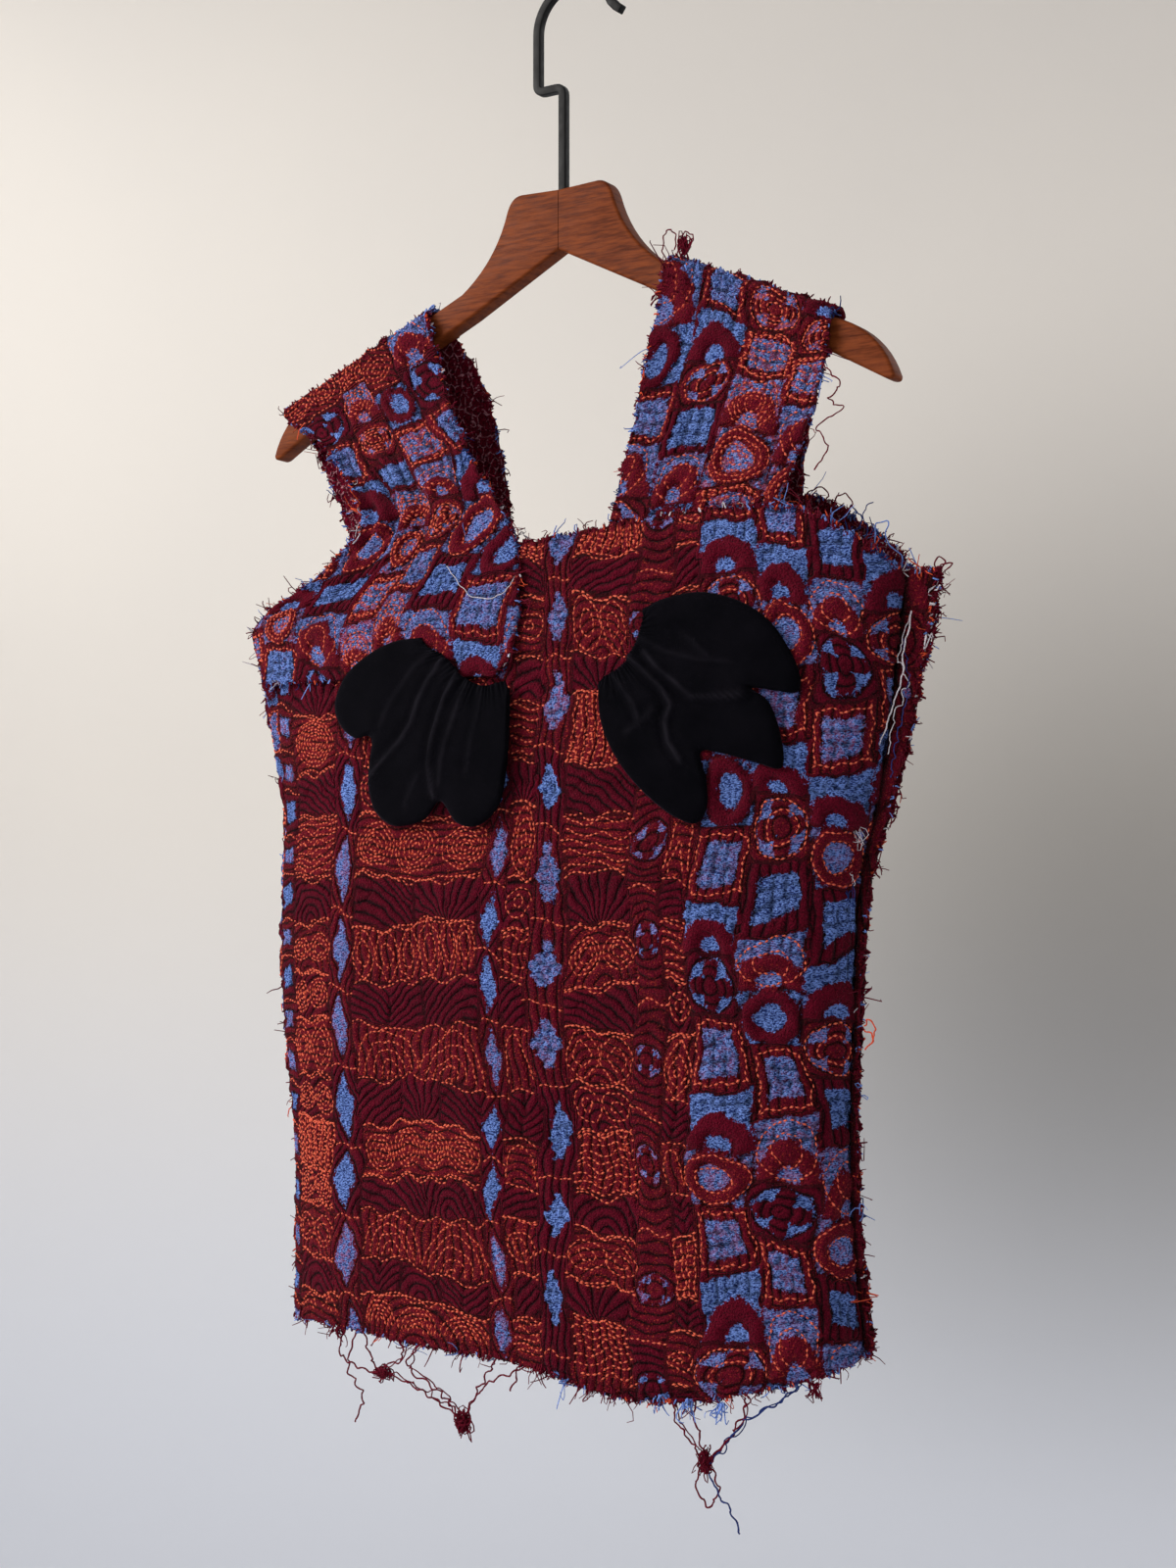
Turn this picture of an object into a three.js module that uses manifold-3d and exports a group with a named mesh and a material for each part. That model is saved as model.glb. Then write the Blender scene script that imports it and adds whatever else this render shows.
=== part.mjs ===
// A sleeveless top of quilted cloth on a wooden hanger, in millimetres, +Z up, front towards -Y.
// The origin is where the hanger's hook rests on its rail.
import * as THREE from 'three';
import { mergeVertices } from 'three/addons/utils/BufferGeometryUtils.js';
import Module from 'manifold-3d';

const wasm = await Module();
wasm.setup();

// Driving dimensions.
const gap = 0.4;                 // between pieces that touch
const cloth = 2.4;               // wall of the quilted cloth
const pillow = 1.1;              // how far its quilting stands out
const woodTop = -116;            // flat top of the hanger
const woodThick = 12;
const armReach = 209;            // half the hanger's width
const armMid = -2.5;             // middle of the hanger, under the hook's resting place
const armSlope = 0.434;
const armHigh = -168.5;          // top of each arm where its straight slope begins
const armBend = 68;              // and how far that is from the middle
const hookBar = 5;
const roundness = 2.35;          // 2 is an ellipse, more is squarer

// Where the body lies at each height: its middle, half width, and depth before and behind the seams.
const bodyRows = [
  { z: -300, mid: -6, half: 222, front: 32, back: 27 },
  { z: -361, mid: -6, half: 215, front: 44, back: 36 },
  { z: -431, mid: -3, half: 203, front: 51, back: 41 },
  { z: -471, mid: -2, half: 195, front: 52, back: 42 },
  { z: -511, mid: -8, half: 191, front: 50, back: 41 },
  { z: -591, mid: -10, half: 188, front: 46, back: 39 },
  { z: -636, mid: -8, half: 184, front: 45, back: 38 },
  { z: -691, mid: -5, half: 182, front: 47, back: 39 },
  { z: -790, mid: 0, half: 187, front: 52, back: 42 },
];

// Raw edges of the two panels, from 0 to 1 across each as it is seen from outside.
const frontTop = [
  { u: 0, z: -363 }, { u: 0.09, z: -350 }, { u: 0.2, z: -330 }, { u: 0.27, z: -322 },
  { u: 0.5, z: -324 }, { u: 0.61, z: -320 }, { u: 0.74, z: -315 }, { u: 0.87, z: -320 },
  { u: 0.94, z: -338 }, { u: 1, z: -356 },
];
const frontHem = [
  { u: 0, z: -765 }, { u: 0.16, z: -761 }, { u: 0.34, z: -765 }, { u: 0.52, z: -768 },
  { u: 0.68, z: -780 }, { u: 0.84, z: -771 }, { u: 1, z: -753 },
];
const backTop = [
  { u: 0, z: -354 }, { u: 0.07, z: -332 }, { u: 0.16, z: -306 }, { u: 0.26, z: -301 },
  { u: 0.42, z: -318 }, { u: 0.58, z: -318 }, { u: 0.74, z: -305 }, { u: 0.84, z: -311 },
  { u: 0.93, z: -340 }, { u: 1, z: -363 },
];
const backHem = [
  { u: 0, z: -753 }, { u: 0.2, z: -762 }, { u: 0.45, z: -770 }, { u: 0.75, z: -768 }, { u: 1, z: -765 },
];

// Soft folds in each panel: place, half length, half width, depth (out is positive) and lean.
const folds = {
  front: [
    { x: -82, z: -585, long: 170, wide: 26, out: -3.5, lean: -0.06 },
    { x: -28, z: -650, long: 165, wide: 24, out: 3, lean: 0.04 },
    { x: 48, z: -600, long: 150, wide: 30, out: -4, lean: 0.12 },
    { x: 112, z: -660, long: 140, wide: 26, out: 3.5, lean: -0.1 },
    { x: -135, z: -700, long: 110, wide: 22, out: 3, lean: 0.05 },
    { x: 30, z: -765, long: 60, wide: 26, out: 4, lean: 0 },
  ],
  back: [
    { x: 92, z: -520, long: 170, wide: 32, out: -4, lean: 0.1 },
    { x: -6, z: -660, long: 160, wide: 30, out: 3.5, lean: 0 },
    { x: -104, z: -560, long: 170, wide: 30, out: -3.5, lean: -0.08 },
    { x: -55, z: -740, long: 80, wide: 24, out: -3, lean: 0.05 },
  ],
};

// Rows of each shoulder strap from its lower front edge up to the fold over the hanger.
const strapLeftFront = [
  { inX: -14, inZ: -400, outX: -193, outZ: -393 },
  { inX: -5, inZ: -390, outX: -201, outZ: -377 },
  { inX: -1, inZ: -366, outX: -207, outZ: -362 },
  { inX: -3, inZ: -345, outX: -190, outZ: -350 },
  { inX: -8, inZ: -328, outX: -163, outZ: -339 },
  { inX: -16, inZ: -312, outX: -139, outZ: -325 },
  { inX: -29, inZ: -294, outX: -121, outZ: -308 },
  { inX: -45, inZ: -275, outX: -126, outZ: -290 },
  { inX: -60, inZ: -250, outX: -143, outZ: -269 },
  { inX: -74, inZ: -222, outX: -166, outZ: -248 },
  { inX: -92, inZ: -180, outX: -201, outZ: -227 },
];
const strapLeftBack = [
  { inX: -92, inZ: -180, outX: -201, outZ: -227 },
  { inX: -67, inZ: -222, outX: -188, outZ: -252 },
  { inX: -56, inZ: -275, outX: -172, outZ: -290 },
  { inX: -52, inZ: -333, outX: -164, outZ: -338 },
];
const strapRightFront = [
  { inX: 46, inZ: -337, outX: 144, outZ: -339 },
  { inX: 50, inZ: -308, outX: 149, outZ: -312 },
  { inX: 56, inZ: -275, outX: 159, outZ: -280 },
  { inX: 62, inZ: -235, outX: 168, outZ: -245 },
  { inX: 71, inZ: -170, outX: 171, outZ: -213 },
];
const strapRightBack = [
  { inX: 71, inZ: -170, outX: 171, outZ: -213 },
  { inX: 64, inZ: -235, outX: 152, outZ: -247 },
  { inX: 58, inZ: -285, outX: 142, outZ: -292 },
  { inX: 56, inZ: -333, outX: 138, outZ: -336 },
];

// The velvet petals: the gathered seam at their root, and their rim clockwise from the seam's first end.
const petalRoots = {
  left: [
    { at: 0, x: -5, z: -403 }, { at: 0.25, x: -18, z: -405 }, { at: 0.5, x: -32, z: -399 },
    { at: 0.75, x: -46, z: -387 }, { at: 1, x: -61, z: -380 },
  ],
  right: [
    { at: 0, x: 79, z: -373 }, { at: 0.25, x: 77, z: -383 }, { at: 0.5, x: 72, z: -393 },
    { at: 0.75, x: 65, z: -400 }, { at: 1, x: 56, z: -404 },
  ],
};
const petalRims = {
  left: [
    { x: -1, z: -408 }, { x: 0, z: -428 }, { x: -1, z: -450 }, { x: -6, z: -471 }, { x: -20, z: -482 },
    { x: -35, z: -480 }, { x: -46, z: -468 }, { x: -58, z: -478 }, { x: -80, z: -481 }, { x: -94, z: -472 },
    { x: -99, z: -455 }, { x: -97, z: -431 }, { x: -110, z: -430 }, { x: -122, z: -422 },
    { x: -127, z: -409 }, { x: -119, z: -393 }, { x: -102, z: -382 }, { x: -84, z: -376 },
    { x: -64, z: -375 },
  ],
  right: [
    { x: 78, z: -368 }, { x: 91, z: -363 }, { x: 112, z: -361 }, { x: 133, z: -367 }, { x: 149, z: -378 },
    { x: 159, z: -392 }, { x: 165, z: -406 }, { x: 164, z: -416 }, { x: 153, z: -415 }, { x: 141, z: -413.5 },
    { x: 150, z: -421 }, { x: 156, z: -439 }, { x: 156, z: -455 }, { x: 143, z: -452 }, { x: 126, z: -447 },
    { x: 114, z: -446 }, { x: 117, z: -460 }, { x: 117, z: -475 }, { x: 111, z: -483 }, { x: 100, z: -480 },
    { x: 86, z: -470 }, { x: 72, z: -456 }, { x: 61, z: -440 }, { x: 55, z: -425 }, { x: 53, z: -408 },
  ],
};
const petalThick = 3;
const petalGather = { depth: 0.5, waves: 4.5 };

// Loose threads below the front hem: each point's x, how far it stands before the hem, and z.
// The first point of a rooted thread lies in the hem's strip, whatever its z.
const looseThreads = [
  { rooted: true, path: [[-124, 0, 0], [-127, 1, -780], [-113, 2, -786], [-94, 1, -789]] },
  { rooted: true, path: [[-110, 0, 0], [-104, 1, -776], [-98, 2, -784], [-91, 1, -789]] },
  { rooted: true, path: [[-115, 0, 0], [-120, 1, -788], [-108, 1, -802], [-114, 1, -818]] },
  {
    rooted: true,
    path: [[-84, 0, 0], [-78, 1, -778], [-92, 2, -785], [-74, 1, -791], [-56, 1, -797], [-36, 1, -806]],
  },
  { rooted: true, path: [[-60, 0, 0], [-74, 1, -781], [-52, 2, -792], [-42, 1, -800], [-34, 1, -808]] },
  { rooted: true, path: [[-10, 0, 0], [-16, 1, -778], [-24, 2, -790], [-34, 1, -806]] },
  { rooted: true, path: [[12, 0, 0], [0, 1, -777], [-14, 2, -783], [-26, 1, -794], [-34, 1, -807]] },
  { rooted: true, path: [[2, 0, 0], [3, 1, -777], [-2, 1, -787]] },
  { rooted: true, path: [[96, 0, 0], [98, 1, -792], [107, 1, -803], [113, 1, -812]] },
  { rooted: true, path: [[108, 0, 0], [108, 1, -789], [112, 2, -800], [114, 1, -813]] },
  { rooted: true, path: [[134, 0, 0], [134, 1, -786], [126, 2, -800], [115, 1, -812]] },
  { rooted: true, path: [[160, 0, 0], [152, 1, -779], [136, 2, -789], [124, 1, -803], [116, 1, -813]] },
  { rooted: false, path: [[114, 1, -810], [109, 1, -824], [116, 1, -834], [121, 1, -824], [115, 1, -811]] },
  { rooted: false, path: [[114, 1, -812], [121, 1, -828], [127, 1, -835], [132, 1, -847]] },
];
const clumps = [
  { x: -34, out: 1, z: -808, wide: 4, tall: 7 },
  { x: -92, out: 1, z: -788, wide: 5, tall: 3.5 },
  { x: 114, out: 1, z: -812, wide: 4.5, tall: 6 },
];

const colours = { burgundy: '#641226', velvet: '#08080c', wood: '#7a4226', steel: '#1b1b1d' };
const finish = (colour, roughness, metalness = 0) =>
  new THREE.MeshStandardMaterial({ color: colour, roughness, metalness });

// A smooth value of one column of a table, at a place given in another.
function along(rows, key, column, at) {
  const rising = rows[1][key] > rows[0][key] ? 1 : -1;
  const slope = (k) => {
    const a = rows[Math.max(k - 1, 0)];
    const b = rows[Math.min(k + 1, rows.length - 1)];
    return (b[column] - a[column]) / (b[key] - a[key]);
  };
  let k = 0;
  while (k < rows.length - 2 && (at - rows[k + 1][key]) * rising > 0) k += 1;
  const span = rows[k + 1][key] - rows[k][key];
  const t = THREE.MathUtils.clamp((at - rows[k][key]) / span, 0, 1);
  const rise = rows[k + 1][column] - rows[k][column];
  const bend = (slope(k) * span - rise) * (1 - t) - (slope(k + 1) * span - rise) * t;
  return rows[k][column] + rise * t + t * (1 - t) * bend;
}

// One panel's section at a height, evenly spaced by its own length. Depth is 'front' or 'back'.
class Outline extends THREE.Curve {
  constructor(depth, z) {
    super();
    this.side = depth === 'front' ? -1 : 1;
    this.z = z;
    this.mid = along(bodyRows, 'z', 'mid', z);
    this.half = along(bodyRows, 'z', 'half', z);
    this.depth = along(bodyRows, 'z', depth, z);
    this.folds = folds[depth];
    this.arcLengthDivisions = 80;
  }

  // The outer face over x, with the way that it faces.
  over(x) {
    const aside = THREE.MathUtils.clamp((x - this.mid) / this.half, -1, 1);
    const deep = (1 - Math.abs(aside) ** roundness) ** (1 / roundness);
    const steep = roundness - 1;
    const facing = new THREE.Vector3(
      Math.sign(aside) * Math.abs(aside) ** steep / this.half, this.side * deep ** steep / this.depth, 0);
    let out = 0;
    for (const fold of this.folds) {
      const near = (this.z - fold.z) / fold.long;
      const across = (x - fold.x + fold.lean * (this.z - fold.z)) / fold.wide;
      if (Math.abs(near) < 1) out += fold.out * (1 - near * near) ** 2 * Math.exp(-across * across);
    }
    const y = this.side * (deep * this.depth + out * deep);
    return { point: new THREE.Vector3(x, y, this.z), facing: facing.normalize() };
  }

  getPoint(t, target = new THREE.Vector3()) {
    const c = Math.cos(Math.PI * t);
    const aside = this.side * Math.sign(c) * Math.abs(c) ** (2 / roundness);
    return target.copy(this.over(this.mid + this.half * aside).point);
  }
}

const outlines = new Map();
function outline(depth, z) {
  const key = `${depth} ${z.toFixed(2)}`;
  if (!outlines.has(key)) outlines.set(key, new Outline(depth, z));
  return outlines.get(key);
}

// A place on a panel by x and z, moved out from its face.
function onPanel(depth, x, z, lift) {
  const { point, facing } = outline(depth, z).over(x);
  return point.addScaledVector(facing, lift);
}

// A whole panel's face, from its hem to its top edge, with the half gap of its side seams.
function panelFace(depth, top, hem) {
  return (u, v) => {
    const z = THREE.MathUtils.lerp(along(hem, 'u', 'z', u), along(top, 'u', 'z', u), v);
    const section = outline(depth, z);
    const point = section.getPointAt(u);
    point.y += section.side * gap / 2;
    return point;
  };
}

function normalAt(at, u, v) {
  const step = 0.004;
  const lowU = Math.max(u - step, 0);
  const highU = Math.min(u + step, 1);
  const lowV = Math.max(v - step, 0);
  const highV = Math.min(v + step, 1);
  const across = at(highU, v).sub(at(lowU, v));
  const up = at(u, highV).sub(at(u, lowV));
  return across.cross(up).normalize();
}

const movedOut = (at, distance) => (u, v) => {
  const far = typeof distance === 'function' ? distance(u, v) : distance;
  return at(u, v).addScaledVector(normalAt(at, u, v), far);
};

// Quilting raised on a grid's odd lines and stitched down on its even ones.
const quilted = (at, cols, rows, base) => movedOut(at, (u, v) => {
  const oddU = Math.round(u * cols) % 2;
  const oddV = Math.round(v * rows) % 2;
  return base + pillow * (oddU && oddV ? 1 : oddU || oddV ? 0.3 : 0);
});

// A closed wall between an outer grid of points and a coarser inner one, joined round the rim.
function wall(outer, inner, cols, rows, everyCol, everyRow) {
  const positions = [];
  const index = [];
  const grid = (at, across, up, inward) => {
    const start = positions.length / 3;
    const id = (i, j) => start + j * (across + 1) + i;
    for (let j = 0; j <= up; j += 1) {
      for (let i = 0; i <= across; i += 1) positions.push(...at(i / across, j / up).toArray());
    }
    for (let j = 0; j < up; j += 1) {
      for (let i = 0; i < across; i += 1) {
        const [a, b, c, d] = [id(i, j), id(i + 1, j), id(i + 1, j + 1), id(i, j + 1)];
        if (inward) index.push(a, c, b, a, d, c);
        else index.push(a, b, c, a, c, d);
      }
    }
    const rim = [];
    for (let i = 0; i < across; i += 1) rim.push({ t: i / across, id: id(i, 0) });
    for (let j = 0; j < up; j += 1) rim.push({ t: 1 + j / up, id: id(across, j) });
    for (let i = across; i > 0; i -= 1) rim.push({ t: 3 - i / across, id: id(i, up) });
    for (let j = up; j > 0; j -= 1) rim.push({ t: 4 - j / up, id: id(0, j) });
    rim.push({ t: 4, id: id(0, 0) });
    return rim;
  };
  const out = grid(outer, cols, rows, false);
  const into = grid(inner, cols / everyCol, rows / everyRow, true);
  let a = 0;
  let b = 0;
  while (a < out.length - 1 || b < into.length - 1) {
    const outNext = a < out.length - 1 ? out[a + 1].t : Infinity;
    const inNext = b < into.length - 1 ? into[b + 1].t : Infinity;
    if (outNext <= inNext) {
      index.push(out[a].id, into[b].id, out[a + 1].id);
      a += 1;
    } else {
      index.push(out[a].id, into[b].id, into[b + 1].id);
      b += 1;
    }
  }
  const geometry = new THREE.BufferGeometry();
  geometry.setAttribute('position', new THREE.Float32BufferAttribute(positions, 3));
  geometry.setIndex(index);
  return geometry;
}

function solid(geometry) {
  const bare = geometry.clone();
  bare.deleteAttribute('normal');
  bare.deleteAttribute('uv');
  const merged = mergeVertices(bare, 1e-4);
  return new wasm.Manifold(new wasm.Mesh({
    numProp: 3,
    vertProperties: new Float32Array(merged.attributes.position.array),
    triVerts: new Uint32Array(merged.index.array),
  }));
}

function surface(body) {
  const mesh = body.getMesh();
  const geometry = new THREE.BufferGeometry();
  geometry.setAttribute('position', new THREE.BufferAttribute(mesh.vertProperties, 3));
  geometry.setIndex(new THREE.BufferAttribute(mesh.triVerts, 1));
  return geometry;
}

const top = new THREE.Group();
function place(name, geometry, material) {
  geometry.computeVertexNormals();
  const mesh = new THREE.Mesh(geometry, material);
  mesh.name = name;
  top.add(mesh);
}

// The hanger: two mitred wooden arms and a square bar bent into a hook.
function armOutline() {
  const arm = new THREE.Shape();
  arm.moveTo(gap / 2, woodTop - 1);
  arm.lineTo(26, woodTop);
  arm.quadraticCurveTo(33, woodTop, 36, woodTop - 9);
  arm.quadraticCurveTo(44, -152, armBend, armHigh);
  arm.lineTo(174, armHigh - (174 - armBend) * armSlope);
  arm.quadraticCurveTo(201, -224, armReach, -249);
  arm.quadraticCurveTo(armReach, -253, armReach - 5, -251);
  arm.lineTo(167, -230);
  arm.lineTo(61, -183);
  arm.lineTo(gap / 2, -152);
  return arm;
}

const bevel = 1.6;
const armShape = armOutline();
const armGeometry = new THREE.ExtrudeGeometry(armShape, {
  depth: woodThick - 2 * bevel, bevelSize: bevel, bevelThickness: bevel, bevelOffset: -bevel,
  bevelSegments: 2, curveSegments: 7,
});
armGeometry.rotateX(Math.PI / 2);
armGeometry.translate(0, woodThick / 2 - bevel, 0);
const leftGeometry = armGeometry.clone();

// The hook: up out of the wood, a step to the side, then an open loop.
const loop = { x: 6, z: -22.7, radius: 26 };
const socketDepth = 22;
function hookPath() {
  const at = (x, z) => new THREE.Vector3(x, 0, z);
  const path = new THREE.CurvePath();
  const corner = 3.5;
  const stepZ = -56.5;
  const upright = loop.x - loop.radius;
  const bend = armMid - corner;
  path.add(new THREE.LineCurve3(at(armMid, woodTop - socketDepth), at(armMid, stepZ - corner)));
  path.add(new THREE.QuadraticBezierCurve3(at(armMid, stepZ - corner), at(armMid, stepZ), at(bend, stepZ)));
  path.add(new THREE.LineCurve3(at(bend, stepZ), at(upright + corner, stepZ)));
  path.add(new THREE.QuadraticBezierCurve3(
    at(upright + corner, stepZ), at(upright, stepZ), at(upright, stepZ + corner)));
  path.add(new THREE.LineCurve3(at(upright, stepZ + corner), at(upright, loop.z)));
  const turns = 12;
  const tipTurn = THREE.MathUtils.degToRad(22);
  const rim = (k) => {
    const angle = Math.PI - (Math.PI - tipTurn) * k / turns;
    return at(loop.x + loop.radius * Math.cos(angle), loop.z + loop.radius * Math.sin(angle));
  };
  for (let k = 0; k < turns; k += 1) path.add(new THREE.LineCurve3(rim(k), rim(k + 1)));
  path.add(new THREE.LineCurve3(rim(turns), at(37, -19)));
  return path;
}

// A bar of square section swept along straight pieces, turned only about Y.
function squareBar(path, size, perPiece) {
  const points = [];
  for (const piece of path.curves) {
    const count = piece.isLineCurve3 ? 1 : perPiece;
    for (let k = 0; k < count; k += 1) points.push(piece.getPoint(k / count));
  }
  points.push(path.curves[path.curves.length - 1].getPoint(1));
  const half = size / 2;
  const positions = [];
  const index = [];
  points.forEach((point, k) => {
    const before = points[Math.max(k - 1, 0)];
    const after = points[Math.min(k + 1, points.length - 1)];
    const into = point.clone().sub(before).normalize();
    const onward = after.clone().sub(point).normalize();
    const tangent = into.add(onward).normalize();
    const side = new THREE.Vector3(tangent.z, 0, -tangent.x);
    const turn = onward.length() && k && k < points.length - 1 ? Math.max(tangent.dot(onward), 0.7) : 1;
    for (const [s, y] of [[-1, -1], [1, -1], [1, 1], [-1, 1]]) {
      const corner = point.clone().addScaledVector(side, s * half / turn);
      positions.push(corner.x, y * half, corner.z);
    }
  });
  for (let k = 0; k < points.length - 1; k += 1) {
    for (let c = 0; c < 4; c += 1) {
      const [a, b] = [4 * k + c, 4 * k + (c + 1) % 4];
      index.push(a, b, b + 4, a, b + 4, a + 4);
    }
  }
  const last = 4 * (points.length - 1);
  index.push(0, 2, 1, 0, 3, 2, last, last + 1, last + 2, last, last + 2, last + 3);
  const bar = new THREE.BufferGeometry();
  bar.setAttribute('position', new THREE.Float32BufferAttribute(positions, 3));
  bar.setIndex(index);
  return bar;
}

const socket = new THREE.BoxGeometry(hookBar + 2 * gap, hookBar + 2 * gap, socketDepth + 4);
socket.translate(armMid, 0, woodTop - socketDepth / 2 + 2 - gap);
const wood = finish(colours.wood, 0.45);
armGeometry.translate(armMid, 0, 0);
leftGeometry.rotateZ(Math.PI);
leftGeometry.translate(armMid, 0, 0);
place('hanger_right', surface(solid(armGeometry).subtract(solid(socket))), wood);
place('hanger_left', surface(solid(leftGeometry).subtract(solid(socket))), wood);
place('hanger_hook', squareBar(hookPath(), hookBar, 3), finish(colours.steel, 0.4, 0.8));

// Front and back panels. Their outer faces lie on the body's outline.
const clothLook = finish(colours.burgundy, 0.95);
const frontFace = panelFace('front', frontTop, frontHem);
const backFace = panelFace('back', backTop, backHem);
const panels = [
  { name: 'front_panel', face: frontFace, cols: 32, rows: 36 },
  { name: 'back_panel', face: backFace, cols: 28, rows: 30 },
];
for (const panel of panels) {
  const { name, face, cols, rows } = panel;
  place(name, wall(quilted(face, cols, rows, 0), movedOut(face, -cloth), cols, rows, 2, 3), clothLook);
}

// The straps: up the chest, over the arm and down to the back.
const overArm = 2.4;             // clear of the arm's top edge
const foldHeight = (x) => armHigh - armSlope * (Math.abs(x - armMid) - armBend) + overArm;
const foldHalf = woodThick / 2 + 0.9;
const foldRise = 3.6;
const strapShare = { frontEnd: 0.5, foldEnd: 0.6 };
const lowest = { front: -322, back: -312 };   // where the straps leave the panels
const strapBend = 0.9;           // how early they lean in towards the arm
const shoulder = { from: 150, to: 205 };      // where the left strap's lobe rounds the side

function strapFace(frontRows, backRows, chestLift, roundLift, backLift) {
  const station = (rows) => rows.map((row, k) => ({ ...row, s: k / (rows.length - 1) }));
  const front = station(frontRows);
  const back = station(backRows);
  const row = (rows, s, t) => ({
    x: THREE.MathUtils.lerp(along(rows, 's', 'inX', s), along(rows, 's', 'outX', s), t),
    z: THREE.MathUtils.lerp(along(rows, 's', 'inZ', s), along(rows, 's', 'outZ', s), t),
  });
  const fromPanel = (depth, x, z, lift) => {
    const end = foldHeight(x) - foldRise;
    const low = lowest[depth];
    const point = onPanel(depth, x, Math.min(z, low), lift);
    if (z <= low) return point;
    const rise = THREE.MathUtils.clamp((z - low) / (end - low), 0, 1) ** strapBend;
    const side = Math.sign(point.y);
    point.x = THREE.MathUtils.lerp(point.x, x, rise);
    point.y = THREE.MathUtils.lerp(point.y, side * foldHalf, rise);
    point.z = Math.min(z, end);
    return point;
  };
  const { frontEnd, foldEnd } = strapShare;
  return (t, s) => {
    if (s <= frontEnd) {
      const { x, z } = row(front, s / frontEnd, t);
      const round = THREE.MathUtils.smoothstep(-x, shoulder.from, shoulder.to);
      return fromPanel('front', x, z, chestLift + roundLift * round);
    }
    if (s >= foldEnd) {
      const { x, z } = row(back, (s - foldEnd) / (1 - foldEnd), t);
      return fromPanel('back', x, z, backLift);
    }
    const { x } = row(front, 1, t);
    const angle = Math.PI * (s - frontEnd) / (foldEnd - frontEnd);
    const z = foldHeight(x) - foldRise + foldRise * Math.sin(angle);
    return new THREE.Vector3(x, -foldHalf * Math.cos(angle), z);
  };
}

const tucked = -(2 * cloth + 2 * gap + pillow);   // inner face of a strap's end tucked behind a panel
const sideLift = 3.0;            // more room for the lobe where it rounds the side
const straps = [
  {
    name: 'strap_right', front: strapRightFront, back: strapRightBack, chest: tucked, side: 0,
    rows: 30, cols: 8, flip: false,
  },
  {
    name: 'strap_left', front: strapLeftFront, back: strapLeftBack, chest: pillow + gap, side: sideLift,
    rows: 30, cols: 12, flip: true,
  },
];
for (const strap of straps) {
  const face = strapFace(strap.front, strap.back, strap.chest, strap.side, tucked);
  const facing = strap.flip ? (u, v) => face(1 - u, v) : face;
  const { cols, rows } = strap;
  const outer = quilted(facing, cols, rows, cloth);
  place(strap.name, wall(outer, facing, cols, rows, 1, 1), clothLook);
}

// Velvet petals, gathered along their root and sewn flat on the chest.
function petalFace(side, lift) {
  const root = petalRoots[side];
  const rim = petalRims[side].map((row, k, rows) => ({ ...row, at: k / (rows.length - 1) }));
  return (u, v) => {
    const x = THREE.MathUtils.lerp(along(root, 'at', 'x', u), along(rim, 'at', 'x', u), v);
    const z = THREE.MathUtils.lerp(along(root, 'at', 'z', u), along(rim, 'at', 'z', u), v);
    return onPanel('front', x, z, lift);
  };
}

// The left petals lie over the strap's lobe as well as the panel, so they stand further out.
const petals = [
  { side: 'left', lift: 2 * pillow + cloth + 3 * gap },
  { side: 'right', lift: pillow + 4 * gap },
];
for (const { side, lift } of petals) {
  const face = petalFace(side, lift);
  const gathers = (u, v) => petalGather.depth * Math.cos(2 * Math.PI * petalGather.waves * u) * (1 - v);
  const plump = movedOut(face, (u, v) => petalThick * (0.75 + 0.25 * Math.sin(Math.PI * v)) + gathers(u, v));
  place(`petals_${side}`, wall(plump, face, 48, 5, 1, 1), finish(colours.velvet, 0.9));
}

// The side seams are sewn with their raw edges outside, widest at the top of the right one.
const seamRows = {
  right: [
    { z: -353, wide: 18 }, { z: -390, wide: 15 }, { z: -440, wide: 11 }, { z: -510, wide: 5 },
    { z: -600, wide: 3 }, { z: -755, wide: 4 },
  ],
  left: [
    { z: -361, wide: 4 }, { z: -450, wide: 3 }, { z: -600, wide: 3 }, { z: -767, wide: 4 },
  ],
};
const seamThick = 4.4;
const seamWave = { depth: 1.2, run: 9 };
function seamFace(side, rows) {
  const [high, low] = [rows[0].z, rows[rows.length - 1].z];
  return (u, v) => {
    const z = THREE.MathUtils.lerp(low, high, v);
    const mid = along(bodyRows, 'z', 'mid', z);
    const edge = along(bodyRows, 'z', 'half', z) + 3 * gap;
    const out = edge + (side > 0 ? u : 1 - u) * along(rows, 'z', 'wide', z);
    const wave = seamWave.depth * Math.sin(z / seamWave.run) * (out - edge) / rows[0].wide;
    return new THREE.Vector3(mid + side * out, wave - seamThick / 2, z);
  };
}

// A short thread: three or four sided, along a smooth path, thinner at its end.
function thread(points, radius, steps) {
  const curve = new THREE.CatmullRomCurve3(points);
  const section = new THREE.Shape();
  for (let k = 0; k < 3; k += 1) {
    const angle = 2 * Math.PI * k / 3;
    const [x, y] = [radius * Math.cos(angle), radius * Math.sin(angle)];
    if (k) section.lineTo(x, y);
    else section.moveTo(x, y);
  }
  return new THREE.ExtrudeGeometry(section, { steps, bevelEnabled: false, extrudePath: curve });
}

// Even scatter between 0 and 1 without a random source.
const scatter = (k, salt) => {
  const value = Math.sin(k * 12.9898 + salt * 78.233) * 43758.5453;
  return value - Math.floor(value);
};

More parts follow.
